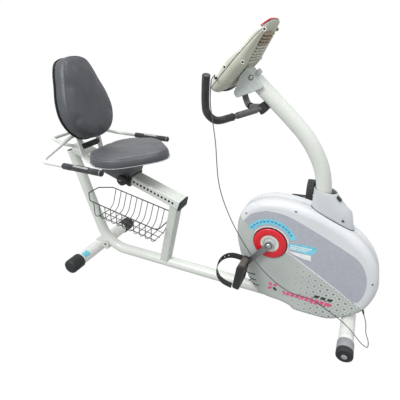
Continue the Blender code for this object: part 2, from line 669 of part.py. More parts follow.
# ---------------------------------------------------------------- handlebar and console
def bar_path(s):
    return [(0.2450, s * 0.0150, 0.9850), (0.215, s * 0.050, 0.977), (0.155, s * 0.125, 0.962),
            (0.118, s * 0.196, 0.960),
            (0.092, s * 0.228, 0.990), (0.086, s * 0.236, 1.030), (0.098, s * 0.262, 1.100),
            (0.105, s * 0.273, 1.134)]


def build_bar():
    near = bar_path(-1.0)
    far = bar_path(1.0)
    path = list(reversed(spline(near, 2))) + spline(far, 2)
    tube("handlebar", path, BAR_R, "frame", 10, 0.0016)
    for side, s in (("right", -1.0), ("left", 1.0)):
        grip = spline(bar_path(s), 2)[4:]
        tube("bar_grip_" + side, grip, GRIP_R, "foam", 10, GRIP_R - BAR_R - 0.0010)
    body = box("bar_clamp", (0.2490, 0, 0.9855), (0.040, 0.052, 0.038), "black", math.radians(42), 0.006)
    cut(body, tube("clamp_cutter_a", path, BAR_R + GAP, "black", 24, coll=CUTTERS))
    cut(body, tube("clamp_cutter_b", spline(MAST, 3), 0.0320 + GAP, "black", 40, coll=CUTTERS))


COVER = [(0.1790, 1.1444), (0.186, 1.1400), (0.249, 1.076), (0.248, 1.068), (0.148, 1.026), (0.139, 1.027),
         (0.130, 1.040),
         (0.130, 1.048), (0.1525, 1.1126)]


def console_matrix():
    return Matrix.Translation(Vector((CONSOLE[0], 0, CONSOLE[1]))) @ Matrix.Rotation(CONSOLE_TILT, 4, "Y")


def console_ring(points, depth, turn):
    return [turn @ Vector((depth(u) if callable(depth) else depth, y, u)) for y, u in points]


def back_depth(u):
    """How far the rear shell stands behind the seam: full below the middle, thin at the top."""
    return 0.0388 * (1.0 - 0.88 * max(0.0, u / 0.168))


def front_depth(u):
    """How far the rim stands in front of the seam, with a dip above the hand rest."""
    levels = [(-0.170, 0.010), (-0.120, 0.018), (-0.030, 0.026), (0.000, 0.024), (0.030, 0.015),
              (0.060, 0.018),
              (0.100, 0.024), (0.140, 0.020), (0.170, 0.012)]
    for (u0, d0), (u1, d1) in zip(levels, levels[1:]):
        if u <= u1:
            return d0 + (d1 - d0) * (u - u0) / (u1 - u0)
    return levels[-1][1]


def console_plan(scale_y, scale_u, shift=0.0):
    """Console face outline: lateral, up."""
    half = [(0.080, -0.167), (0.108, -0.158), (0.120, -0.130), (0.127, -0.070), (0.131, 0.000),
            (0.1228, 0.070),
            (0.1043, 0.119), (0.080, 0.150), (0.050, 0.167)]
    pts = half + [(-y, u) for y, u in reversed(half)]
    return [(y * scale_y, u * scale_u + shift) for y, u in pts]


def build_console():
    turn = console_matrix()
    back = [console_ring(console_plan(1.0, 1.0), -0.002, turn)]
    for part, sy, su in ((0.30, 0.99, 0.99), (0.72, 0.93, 0.95), (1.0, 0.80, 0.86), (1.0, 0.70, 0.80)):
        back.append(console_ring(console_plan(sy, su), lambda u, part=part: back_depth(u) * part, turn))
    inside = [console_ring(console_plan(0.60, 0.62), lambda u: back_depth(u) - 0.004, turn),
              console_ring(console_plan(0.78, 0.78), lambda u: back_depth(u) - 0.005, turn),
              console_ring(console_plan(0.90, 0.86), lambda u: back_depth(u) * 0.55 - 0.003, turn),
              console_ring(console_plan(0.965, 0.965), -0.002, turn)]
    rings = back + inside
    n = len(rings[0])
    verts = [v for ring in rings for v in ring]
    faces = []
    for i, j in [(0, 1), (1, 2), (2, 3), (3, 4), (5, 6), (6, 7), (7, 8), (8, 0)]:
        for k in range(n):
            faces.append((i * n + k, i * n + (k + 1) % n, j * n + (k + 1) % n, j * n + k))
    faces.append(tuple(range(4 * n, 5 * n)))
    faces.append(tuple(range(5 * n, 6 * n)))
    from_data("console_back", verts, faces, "console")
    face = [console_ring(console_plan(1.0, 1.0), -0.0024, turn),
            console_ring(console_plan(1.0, 1.0), lambda u: -front_depth(u) * 0.75, turn),
            console_ring(console_plan(0.94, 0.96), lambda u: -front_depth(u), turn),
            console_ring(console_plan(0.72, 0.80), -0.0300, turn)]
    front = loft("console_front", face, "console")
    place = Matrix.Translation(Vector((X_SHIFT, 0, 0))) @ turn
    pocket = box("pocket_cutter", (0, 0, 0), (0.010, 0.132, 0.092), "console", coll=CUTTERS)
    pocket.matrix_world = place @ Matrix.Translation(Vector((-0.030, 0, 0.050)))
    cut(front, pocket)
    lens = box("display_lens", (0, 0, 0), (0.0040, 0.131, 0.091), "lens", 0.0, 0.0)
    lens.matrix_world = place @ Matrix.Translation(Vector((-0.0273, 0, 0.050)))
    for i, y in enumerate((-0.034, 0.034)):
        hole = turned("button_hole_%d" % i,
                      [(0, -0.0370), (0.0135, -0.0370), (0.0135, -0.0220), (0, -0.0220)],
                      (0, 0, 0), (1, 0, 0), "console", 20, coll=CUTTERS)
        hole.matrix_world = place @ Matrix.Translation(Vector((0, y, -0.050)))
        cut(front, hole)
        key = turned("button_%d" % (i + 1),
                     [(0, -0.0325), (0.0105, -0.0320), (0.0128, -0.0300), (0.0128, -0.0260),
                                             (0, -0.0260)], (0, 0, 0), (1, 0, 0), "red" if i else "black",
                                            20)
        key.matrix_world = place @ Matrix.Translation(Vector((0, y, -0.050)))
    cover = prism("console_cover", COVER, -0.047, 0.047, "cover")
    cut(cover, tube("cover_cutter_a", spline(MAST + [(0.150, 0, 1.143), (0.11, 0, 1.178)], 3),
                    0.0320 + 0.0006, "cover", 28,
                    coll=CUTTERS))
    reach = tube("cover_cutter_c", list(reversed(spline(bar_path(-1.0), 3))) + spline(bar_path(1.0), 3),
                 BAR_R + 0.001,
                 "cover", 16, coll=CUTTERS)
    cut(cover, reach)


# ---------------------------------------------------------------- seat
SEAT = [(-0.655, 0.000), (-0.650, 0.062), (-0.632, 0.115), (-0.595, 0.165), (-0.535, 0.202),
        (-0.465, 0.215),
        (-0.408, 0.206), (-0.355, 0.170), (-0.308, 0.124), (-0.268, 0.080), (-0.240, 0.040),
        (-0.232, 0.000)]
SEAT_TILT = math.radians(-4.5)
SEAT_MID = (-0.44, 0.705)
PAN = [(-0.588, 0.000), (-0.583, 0.060), (-0.560, 0.110), (-0.510, 0.142), (-0.450, 0.148), (-0.395, 0.125),
       (-0.340, 0.085), (-0.300, 0.045), (-0.285, 0.000)]
BACK = [(-0.208, 0.000), (-0.203, 0.060), (-0.178, 0.112), (-0.130, 0.152), (-0.065, 0.170), (0.010, 0.160),
        (0.085, 0.132), (0.145, 0.110), (0.190, 0.082), (0.209, 0.040), (0.213, 0.000)]
BACK_MID = (-0.716, 0.955)
BACK_LEAN = math.radians(-15.0)
BACK_BAR = 0.0725          # middle of each flat bar, sideways
HANDLE_Y = 0.132


def mirrored(points):
    return list(points) + [(x, -y) for x, y in reversed(points[1:-1])]


def cushion(name, plan, turn, levels, slot):
    """Skin a plan outline at several heights, each moved inwards by its own amount."""
    base = smooth_outline(mirrored(plan), 1)
    rings = []
    for height, amount in levels:
        outline = inset(base, amount) if amount else base
        rings.append([turn @ Vector((x, y, height)) for x, y in outline])
    return loft(name, rings, slot)


def build_seat():
    c = Vector((SEAT_MID[0], 0, SEAT_MID[1]))
    tilt = Matrix.Rotation(SEAT_TILT, 4, "Y")
    turn = Matrix.Translation(c) @ tilt @ Matrix.Translation(Vector((-SEAT_MID[0], 0, 0)))
    cushion("seat_pan", PAN, turn, ((-0.0520, 0.008), (-0.0480, 0.0), (-0.0404, 0.0)), "board")
    cushion("seat_cushion", SEAT, turn,
            ((-0.0400, 0.006), (-0.032, 0.0), (0.000, 0.0), (0.0135, 0.007), (0.0225, 0.020),
                                         (0.0265, 0.040)), "vinyl")
    centre = Vector((BACK_MID[0], 0, BACK_MID[1]))
    axes = Matrix(((0, 0, 1, 0), (0, 1, 0, 0), (1, 0, 0, 0), (0, 0, 0, 1)))
    lean = Matrix.Translation(centre) @ Matrix.Rotation(BACK_LEAN, 4, "Y") @ axes
    cushion("back_board", BACK, lean, ((-0.0640, 0.012), (-0.0590, 0.004), (-0.0505, 0.002)), "board")
    cushion("back_cushion", BACK, lean,
            ((-0.0500, 0.003), (-0.042, 0.0), (0.014, 0.0), (0.026, 0.007), (0.033, 0.020),
                                         (0.0355, 0.040)), "vinyl")
    build_carriage(turn, lean)


def build_carriage(turn, lean):
    x0, x1 = -0.625, -0.425
    z0 = rail_point((x0 + x1) / 2)
    mid = Vector(((x0 + x1) / 2, 0, z0))
    slope = Matrix.Translation(mid) @ Matrix.Rotation(RAIL_SLOPE, 4, "Y")
    outline = [(-0.095, -0.033), (0.092, -0.033), (0.094, 0.030), (0.098, 0.150), (-0.095, 0.110)]
    body = prism("seat_carriage", outline, -0.0512, 0.0512, "carriage", matrix=slope)
    h = RAIL_HALF + 0.0006
    w = RAIL_WIDE + 0.0006
    cut(body, prism("carriage_bore", [(-0.4, -h), (0.4, -h), (0.4, h), (-0.4, h)], -w, w, "carriage",
                    coll=CUTTERS,
                    matrix=slope))
    plan = smooth_outline(mirrored([(x, y * 1.2) for x, y in SEAT]), 1)
    block = [[turn @ Vector((x * 1.15 + 0.06, y * 1.1, h2)) for x, y in plan] for h2 in (-0.0524, 0.2)]
    cut(body, loft("carriage_top", block, "carriage", coll=CUTTERS))
    knob_x = -0.470
    kz = rail_point(knob_x)
    cut(body, cylinder("pin_bore", (knob_x, -0.09, kz), (knob_x, -0.02, kz), 0.0062, "carriage", 20,
                       coll=CUTTERS))
    pin = [(0, 0.0425), (0.0042, 0.0435), (0.0042, 0.0520), (0.011, 0.0522), (0.011, 0.064), (0.026, 0.066),
           (0.028, 0.070), (0.028, 0.086), (0.025, 0.090), (0.010, 0.0915), (0, 0.0915)]
    turned("pull_pin", pin, (knob_x, 0, kz), (0, -1, 0), "black", 18)
    build_back_frame(turn, lean)


def build_back_frame(turn, lean):
    low = turn @ Vector((-0.455, BACK_BAR, -0.0572))
    corner = turn @ Vector((-0.715, BACK_BAR, -0.0572))
    top = lean @ Vector((0.060, BACK_BAR, -0.0692))
    knee = lean @ Vector((-0.205, BACK_BAR, -0.0692))
    path = fillet([low, corner, knee, top], [0, 0.050, 0.060, 0], 5)
    flat = rect_profile(0.036, 0.008, 0.0015)
    frame = sweep("back_frame", path, flat, "frame")
    other = sweep("bar_cutter", [Vector((p.x, -p.y, p.z)) for p in path], flat, "frame", coll=CUTTERS)
    spot = knee + (corner - knee) * 0.30
    cross = box("cross_cutter", (spot.x, 0, spot.z), (0.012, 0.140, 0.032), "frame", 0.0, 0.002,
                coll=CUTTERS)
    cut(frame, cross, "UNION")
    cut(frame, other, "UNION")
    handle = fillet([(spot.x, HANDLE_Y - 0.065, spot.z - 0.004), (-0.790, HANDLE_Y, 0.730),
                     (-0.862, HANDLE_Y, 0.752),
                     (-0.862, 0.0, 0.752)], [0, 0.030, 0.016, 0], 3)
    loop = list(handle) + [Vector((p.x, -p.y, p.z)) for p in reversed(handle[:-1])]
    cut(frame, tube("handle_cutter", loop, 0.0085, "frame", 10, coll=CUTTERS), "UNION")
    xr = knee.x - 0.0258
    half = [(-0.402, ARM_Y, 0.6890), (-0.778, ARM_Y, 0.6890), (xr, 0.104, 0.7670), (xr, 0.0, 0.7670)]
    side = fillet(half, [0, 0.034, 0.050, 0], 4)
    arm = list(side) + [Vector((p.x, -p.y, p.z)) for p in reversed(side[:-1])]
    tube("armrest_tube", arm, ARM_R, "frame", 10, 0.0016)
    for name, s in (("right", -1.0), ("left", 1.0)):
        tube("arm_grip_" + name, [(-0.632, s * ARM_Y, 0.6890), (-0.4025, s * ARM_Y, 0.6890)],
             GRIP_R + 0.0005, "foam", 12,
             GRIP_R + 0.0005 - ARM_R - 0.0008)


# ---------------------------------------------------------------- basket and lead
def build_basket():
    wires = []
    slope = math.radians(11.0)
    x0, x1 = -0.752, -0.249

    def rim(x, y, drop=0.0):
        z = 0.412 - (x - x0) * math.tan(slope)
        return Vector((x - drop * math.sin(slope), y, z - drop * math.cos(slope)))

    half = 0.104
    loop = fillet([rim(-0.5, half), rim(x1, half), rim(x1, -half), rim(x0 + 0.060, -half), rim(x0, -0.044),
                   rim(x0, 0.044), rim(x0 + 0.060, half), rim(-0.5, half)],
                  [0, 0.030, 0.030, 0.030, 0.020, 0.020, 0.030, 0], 2)
    wires.append((loop[:-1], 0.0028, True))
    for k in range(11):
        x = x0 + 0.085 + k * 0.0380
        path = fillet([rim(x, half), rim(x, half - 0.022, 0.126), rim(x, -half + 0.022, 0.126),
                       rim(x, -half)],
                      [0, 0.055, 0.055, 0], 3)
        wires.append((path, 0.0020, False))
    for y in (-0.046, 0.0, 0.046):
        path = [rim(x0 + 0.078, y, 0.126 - abs(y) * 0.074), rim(x1 - 0.030, y, 0.126 - abs(y) * 0.074)]
        wires.append((path, 0.0020, False))
    verts, faces = [], []
    for path, radius, closed in wires:
        pts = [Vector(p) for p in path]
        fr = frames(pts + pts[:1]) if closed else frames(pts)
        n = 4
        base = len(verts)
        for i, p in enumerate(pts):
            if closed:
                t = (pts[(i + 1) % len(pts)] - pts[i - 1]).normalized()
                up = Vector((math.sin(slope), 0, math.cos(slope)))
                side = t.cross(up).normalized()
                up = side.cross(t)
            else:
                t, side, up = fr[i]
            for k in range(n):
                a = 2 * math.pi * (k + 0.5) / n
                verts.append(p + side * radius * math.cos(a) + up * radius * math.sin(a))
        count = len(pts) if closed else len(pts) - 1
        for i in range(count):
            j = (i + 1) % len(pts)
            for k in range(n):
                faces.append((base + i * n + k, base + i * n + (k + 1) % n, base + j * n + (k + 1) % n,
                              base + j * n + k))
        if not closed:
            faces.append(tuple(range(base, base + n)))
            faces.append(tuple(range(base + (len(pts) - 1) * n, base + len(pts) * n)))
    basket = from_data("basket", verts, faces, "wire")
    mod = basket.modifiers.new("weld", "BOOLEAN")
    mod.operation = "UNION"
    mod.solver = "EXACT"
    mod.use_self = True
    seed = cylinder("basket_seed", rim(x1, -0.02), rim(x1, 0.02), 0.0030, "wire", 4, coll=CUTTERS)
    mod.object = seed


LEAD = [(0.806, -0.0600, 0.1120), (0.822, -0.0640, 0.0720), (0.832, -0.0760, 0.0250),
        (0.846, -0.1050, 0.0060),
        (0.843, -0.1420, 0.0060), (0.815, -0.1500, 0.0250), (0.770, -0.1500, 0.0720),
        (0.720, -0.1650, 0.1270),
        (0.655, -0.2050, 0.1980), (0.585, -0.2500, 0.2700), (0.480, -0.2700, 0.2980),
        (0.372, -0.2740, 0.3720),
        (0.290, -0.2740, 0.4700), (0.213, -0.2720, 0.5940), (0.163, -0.2700, 0.7260),
        (0.141, -0.2600, 0.8840),
        (0.118, -0.2380, 0.9650), (0.1040, -0.2310, 1.0300), (0.1160, -0.2560, 1.1000),
        (0.1190, -0.2550, 1.1200),
        (0.1120, -0.2120, 1.1300), (0.0940, -0.1720, 1.1180), (0.0825, -0.1412, 1.1090)]


def build_lead():
    """The lead from the housing's front foot, clear of the pedals, over the bar to the console."""
    path = spline(LEAD, 3)
    curve = bpy.data.curves.new("cord", "CURVE")
    curve.dimensions = "3D"
    curve.bevel_depth = 0.0019
    curve.bevel_resolution = 2
    curve.use_fill_caps = True
    line = curve.splines.new("POLY")
    line.points.add(len(path) - 1)
    for point, p in zip(line.points, path):
        point.co = (p.x, p.y, p.z, 1.0)
    obj = bpy.data.objects.new("cord", curve)
    obj.location = (X_SHIFT, 0, 0)
    PARTS.objects.link(obj)
    curve.materials.append(material("belt"))
    end = Vector(path[-1])
    plug = [(0, 0.0009), (0.0030, 0.0010), (0.0048, 0.004), (0.0048, 0.0177), (0, 0.0177)]
    turned("cord_plug", plug, end, (0, 1, 0), "black", 16)


build_frame()
build_rail()
build_stabilizers()
build_drive()
build_cranks()
build_housing()
build_mast()
build_bar()
build_console()
build_seat()
build_basket()
build_lead()
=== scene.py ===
"""Recumbent exercise bike: the visual model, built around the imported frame. Metres, +X ahead, +Z up."""
from math import cos, exp, pi, radians, sin, sqrt, tan

import bmesh
import bpy
from mathutils import Matrix, Vector


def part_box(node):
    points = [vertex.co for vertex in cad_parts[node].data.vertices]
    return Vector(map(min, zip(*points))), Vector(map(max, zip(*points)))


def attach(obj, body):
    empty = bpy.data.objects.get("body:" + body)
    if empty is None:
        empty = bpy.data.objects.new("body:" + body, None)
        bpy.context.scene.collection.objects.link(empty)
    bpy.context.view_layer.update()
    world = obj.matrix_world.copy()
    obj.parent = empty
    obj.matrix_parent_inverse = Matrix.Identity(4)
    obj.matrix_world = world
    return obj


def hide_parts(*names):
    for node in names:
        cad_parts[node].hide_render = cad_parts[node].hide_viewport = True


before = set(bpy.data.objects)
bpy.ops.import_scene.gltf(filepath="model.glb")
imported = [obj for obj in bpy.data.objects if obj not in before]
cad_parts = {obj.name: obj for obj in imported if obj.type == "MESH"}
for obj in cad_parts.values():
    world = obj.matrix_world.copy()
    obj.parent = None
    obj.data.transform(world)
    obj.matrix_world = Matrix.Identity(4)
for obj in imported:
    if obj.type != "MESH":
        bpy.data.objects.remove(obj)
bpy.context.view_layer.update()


def mm(*points):
    """Points given in millimetres, in metres."""
    return [tuple(v / 1000 for v in point) for point in points]


# ---------------------------------------------------------------- driving dimensions
# Places are in the layout's own coordinates. SHIFT moves them along X into the frame.
axle_low, axle_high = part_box("crank_axle")
CRANK = (0.349, (axle_low.z + axle_high.z) / 2)
SHIFT = Vector(((axle_low.x + axle_high.x) / 2 - CRANK[0], 0, 0))

BEAM_R = 0.03
BEAM_Z = 0.0455
REAR_STAB = (-0.742, 0.042)
FRONT_STAB = (0.751, 0.036)
REAR_R = 0.036
REAR_HALF = 0.205
FRONT_R = 0.032
FRONT_HALF = 0.188
CRANK_R = 0.165
CRANK_DEG = 232.0
DISC_R = 0.078
HALF_W = 0.07
ROUND_IN = 0.034
ROUND_DEEP = 0.032
RAIL_MID = (-0.333, 0.511)
RAIL_SLOPE = radians(18.4)
RAIL_HALF = 0.025
RAIL_WIDE = 0.042
RAIL_X = (-0.828, -0.152)
HOLE_STEP = 0.0224
ARM_Y = 0.304
BAR_R = 0.0112
ARM_R = 0.01
GRIP_R = 0.015
CONSOLE = (0.161, 1.185)
CONSOLE_TILT = radians(41.5)
PEDAL_MID = 0.1645
SEAT_MID = (-0.44, 0.705)
SEAT_TILT = radians(-4.5)
BACK_MID = (-0.716, 0.955)
BACK_LEAN = radians(-15.0)
BACK_BAR = 0.0725
HANDLE_Y = 0.132
EYE = (0.63183, -1.45865, 1.27994)
LOOK = (-0.37846, 0.81433, -0.44004)
FOCAL = 31.3
LEAD_THICK = 0.0038
CUSHION_VOXEL = 0.006
PUFF_FRAMES = 20
STRAP_ENDS = {"right": (0.036, -0.056), "left": (0.026, 0.026)}

MAST = mm((545, 0, 455), (546, 0, 560), (543, 0, 650), (523, 0, 742), (485, 0, 820), (432, 0, 890),
    (362, 0, 957), (290, 0, 1020), (230, 0, 1073), (192, 0, 1106))

HOUSING = mm((178, 410), (184, 470), (213, 530), (275, 573), (345, 592), (420, 592), (500, 579),
    (600, 547), (690, 499), (760, 441), (809, 370), (833, 290), (832, 222), (816, 160), (792, 112),
    (752, 78), (706, 40), (660, 18), (600, 12), (500, 12), (470, 30), (420, 42), (350, 48), (300, 74),
    (258, 132), (222, 205), (194, 300), (181, 360))

SEAT = mm((-655, 0), (-650, 62), (-632, 115), (-595, 165), (-535, 202), (-465, 215), (-408, 206),
    (-355, 170), (-308, 124), (-268, 80), (-240, 40), (-232, 0))
PAN = mm((-588, 0), (-583, 60), (-560, 110), (-510, 142), (-450, 148), (-395, 125), (-340, 85), (-300, 45),
    (-285, 0))
CONSOLE_HALF = mm((80, -167), (108, -158), (120, -130), (127, -70), (131, 0), (122.8, 70), (104.3, 119),
    (80, 150), (50, 167))
COVER = mm((179, 1144.4), (186, 1140), (249, 1076), (248, 1068), (148, 1026), (139, 1027), (130, 1040),
    (130, 1048), (152.5, 1112.6))
BACK = mm((-208, 0), (-203, 60), (-178, 112), (-130, 152), (-65, 170), (10, 160), (85, 132), (145, 110),
    (190, 82), (209, 40), (213, 0))

LEAD = mm((806, -60, 112), (822, -64, 72), (832, -76, 25), (846, -105, 6), (843, -142, 6), (815, -150, 25),
    (770, -150, 72), (720, -165, 127), (655, -205, 198), (585, -250, 270), (480, -270, 298),
    (372, -274, 372), (290, -274, 470), (213, -272, 594), (163, -270, 726), (141, -260, 884),
    (118, -238, 965), (104, -231, 1030), (116, -256, 1100), (119, -255, 1120), (112, -212, 1130),
    (94, -172, 1118), (82.5, -141.2, 1109))


# ---------------------------------------------------------------- shape helpers
def fillet(points, radii, steps=6):
    """Round the corners of an open path."""
    pts = [Vector(p) for p in points]
    radii = radii if isinstance(radii, (list, tuple)) else [radii] * len(pts)
    out = [pts[0]]
    for i in range(1, len(pts) - 1):
        a = (pts[i - 1] - pts[i]).normalized()
        b = (pts[i + 1] - pts[i]).normalized()
        half = a.angle(b) / 2.0
        cut = radii[i] / tan(half)
        middle = pts[i] + (a + b).normalized() * (radii[i] / sin(half))
        start = pts[i] + a * cut - middle
        end = pts[i] + b * cut - middle
        turn = start.angle(end)
        for k in range(steps + 1):
            t = k / steps
            w0 = sin((1.0 - t) * turn) / sin(turn)
            w1 = sin(t * turn) / sin(turn)
            out.append(middle + start * w0 + end * w1)
    out.append(pts[-1])
    return out


def spline_point(p0, p1, p2, p3, t):
    a = p1 * 2 + (p2 - p0) * t
    b = (p0 * 2 - p1 * 5 + p2 * 4 - p3) * t * t
    c = (p1 * 3 - p0 - p2 * 3 + p3) * t * t * t
    return (a + b + c) / 2


def spline(points, steps=4):
    """A smooth path through the given points."""
    pts = [Vector(p) for p in points]
    ext = [pts[0] * 2 - pts[1]] + pts + [pts[-1] * 2 - pts[-2]]
    out = []
    for i in range(1, len(ext) - 2):
        out += [spline_point(*ext[i - 1:i + 3], k / steps) for k in range(steps)]
    out.append(pts[-1])
    return out


def loop_spline(points, steps=4):
    """A closed smooth outline through the points."""
    pts = [Vector(p) for p in points]
    n = len(pts)
    out = []
    for i in range(n):
        four = [pts[(i + k - 1) % n] for k in range(4)]
        out += [spline_point(*four, k / steps) for k in range(steps)]
    return out


def inset(outline, amount):
    """Move a closed plane outline inwards."""
    area = sum(a[0] * b[1] - b[0] * a[1] for a, b in zip(outline, outline[1:] + outline[:1]))
    sign = 1.0 if area > 0 else -1.0
    out = []
    n = len(outline)
    for i, p in enumerate(outline):
        a, b, q = Vector(outline[i - 1]), Vector(outline[(i + 1) % n]), Vector(p)
        e0, e1 = (q - a).normalized(), (b - q).normalized()
        n0, n1 = Vector((-e0.y, e0.x)) * sign, Vector((-e1.y, e1.x)) * sign
        m = (n0 + n1).normalized()
        out.append(q + m * amount / max(m.dot(n0), 0.5))
    return out


def mirrored(points):
    return list(points) + [(x, -y) for x, y in reversed(points[1:-1])]


def frames(pts):
    """A tangent, side and up direction at each point, carried along without twist."""
    out = []
    side = None
    for i in range(len(pts)):
        before = pts[max(i - 1, 0)]
        after = pts[min(i + 1, len(pts) - 1)]
        tangent = (after - before).normalized()
        if side is None:
            side = Vector((0, 1, 0)) if abs(tangent.y) < 0.9 else Vector((0, 0, 1))
        side = (side - tangent * side.dot(tangent)).normalized()
        out.append((tangent, side, tangent.cross(side)))
    return out


def circle(radius, n):
    angles = [2 * pi * k / n for k in range(n)]
    return [(radius * cos(a), radius * sin(a)) for a in angles]


def rounded_rect(w, h, r, steps=3):
    """A rectangle with round corners, anticlockwise."""
    out = []
    for cx, cy, start in ((w / 2 - r, h / 2 - r, 0), (r - w / 2, h / 2 - r, 90),
            (r - w / 2, r - h / 2, 180), (w / 2 - r, r - h / 2, 270)):
        for k in range(steps + 1):
            a = radians(start + 90 * k / steps)
            out.append((cx + r * cos(a), cy + r * sin(a)))
    return out


class Shape:
    """Collects the vertices and faces of one piece."""

    def __init__(self):
        self.verts = []
        self.faces = []

    def rings(self, rings, closed=False):
        """Skin a list of equal rings."""
        n = len(rings[0])
        base = len(self.verts)
        for ring in rings:
            self.verts += [Vector(p) for p in ring]
        pairs = [(i, i + 1) for i in range(len(rings) - 1)]
        if closed:
            pairs.append((len(rings) - 1, 0))
        for i, j in pairs:
            for k in range(n):
                m = (k + 1) % n
                self.faces.append((base + i * n + k, base + i * n + m, base + j * n + m, base + j * n + k))
        if not closed:
            self.faces.append(tuple(range(base, base + n)))
            self.faces.append(tuple(range(base + (len(rings) - 1) * n, base + len(rings) * n)))
        return self

    def sweep(self, path, profile, closed=False):
        """A bar along a path."""
        pts = [Vector(p) for p in path]
        fr = frames(pts[-3:] + pts + pts[:1])[3:-1] if closed else frames(pts)
        rows = [[p + side * u + up * v for u, v in profile] for p, (_, side, up) in zip(pts, fr)]
        return self.rings(rows, closed=closed)

    def tube(self, path, radius, n=24, round_end=0.0):
        """A round bar, its ends rounded over round_end."""
        pts = [Vector(p) for p in path]
        fr = frames(pts)
        first, last = pts[0], pts[-1]
        pts[0] = first + fr[0][0] * round_end
        pts[-1] = last - fr[-1][0] * round_end
        angles = [radians(a) for a in (18, 42, 66)] if round_end else []
        ends = [(round_end * (1 - sin(a)), radius - round_end * (1 - cos(pi / 2 - a))) for a in angles]
        spots = [(first + fr[0][0] * back, fr[0], r) for back, r in ends]
        spots += [(p, f, radius) for p, f in zip(pts, fr)]
        spots += [(last - fr[-1][0] * back, fr[-1], r) for back, r in reversed(ends)]
        rows = [[p + side * u + up * v for u, v in circle(r, n)] for p, (_, side, up), r in spots]
        return self.rings(rows)

    def turned(self, profile, centre, axis, n=32):
        """A body of revolution from (radius, height) pairs; a ring if they start off the axis."""
        axis = Vector(axis).normalized()
        ref = Vector((0, 0, 1)) if abs(axis.z) < 0.9 else Vector((1, 0, 0))
        side = axis.cross(ref).normalized()
        up = axis.cross(side)
        c = Vector(centre)
        solid = profile[0][0] < 1e-7
        index = []
        for radius, height in profile:
            if radius < 1e-7:
                index.append([len(self.verts)] * n)
                self.verts.append(c + axis * height)
                continue
            index.append(list(range(len(self.verts), len(self.verts) + n)))
            for u, v in circle(radius, n):
                self.verts.append(c + axis * height + side * u + up * v)
        rows = list(zip(index, index[1:])) if solid else list(zip(index, index[1:] + index[:1]))
        for r0, r1 in rows:
            for k in range(n):
                j = (k + 1) % n
                face = list(dict.fromkeys((r0[k], r0[j], r1[j], r1[k])))
                self.faces.append(tuple(face))
        return self

    def prism(self, outline, y0, y1, matrix=None):
        """An outline in X, Z pushed along Y."""
        turn = matrix or Matrix.Identity(4)
        return self.rings([[turn @ Vector((p[0], y, p[1])) for p in outline] for y in (y0, y1)])

    def block(self, centre, size, matrix):
        sx, sy, sz = (v / 2 for v in size)
        return self.prism([(-sx, -sz), (sx, -sz), (sx, sz), (-sx, sz)], -sy, sy,
            matrix @ placed(centre, 0.0))

    def mesh(self, name):
        mesh = bpy.data.meshes.new(name)
        mesh.from_pydata([v + SHIFT for v in self.verts], [], self.faces)
        bm = bmesh.new()
        bm.from_mesh(mesh)
        bmesh.ops.remove_doubles(bm, verts=bm.verts, dist=0.00001)
        bmesh.ops.recalc_face_normals(bm, faces=bm.faces)
        bm.to_mesh(mesh)
        bm.free()
        return mesh

    def piece(self, name, mat, slot, nodes=(), body="frame", sharp=38, bevel=0.0, segments=2):
        """Make the object, and say what it rides on and which CAD nodes it stands for."""
        mesh = self.mesh(name)
        mesh.materials.append(mat)
        mesh.shade_smooth()
        mesh.set_sharp_from_angle(angle=radians(sharp))
        obj = add(name, mesh)
        if bevel:
            round_edges(obj, bevel, segments)
        return settle(obj, nodes, body)

    def cutter(self, name):
        obj = add(name, self.mesh(name))
        obj.hide_render = True
        obj.hide_viewport = True
        return obj


def add(name, data):
    obj = bpy.data.objects.new(name, data)
    bpy.context.scene.collection.objects.link(obj)
    return obj


def placed(centre, tilt):
    """A place, turned about Y."""
    return Matrix.Translation(Vector(centre)) @ Matrix.Rotation(tilt, 4, "Y")


def settle(obj, nodes=(), body="frame"):
    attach(obj, body)
    if nodes:
        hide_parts(*nodes)
    return obj


def round_edges(obj, width, segments=2, angle=32):
    mod = obj.modifiers.new("edges", "BEVEL")
    mod.width = width
    mod.segments = segments
    mod.limit_method = "ANGLE"
    mod.angle_limit = radians(angle)
    mod.harden_normals = True
    mod.miter_outer = "MITER_ARC"


def cut(obj, cutter):
    mod = obj.modifiers.new("cut", "BOOLEAN")
    mod.operation = "DIFFERENCE"
    mod.solver = "EXACT"
    mod.object = cutter


SIDES = (("right", -1.0), ("left", 1.0))


def lathe(name, finish, slot, profile, centre, axis, n, *rest, **more):
    """A piece that is one body of revolution."""
    return Shape().turned(profile, centre, axis, n).piece(name, finish, slot, *rest, **more)


def rail_point(x):
    return RAIL_MID[1] - (x - RAIL_MID[0]) * tan(RAIL_SLOPE)


# ---------------------------------------------------------------- materials
def srgb(r, g, b):
    """A colour from 0 to 255 as the shader reads it."""
    out = []
    for v in (r, g, b):
        v /= 255.0
        out.append(v / 12.92 if v <= 0.04045 else ((v + 0.055) / 1.055) ** 2.4)
    return tuple(out)


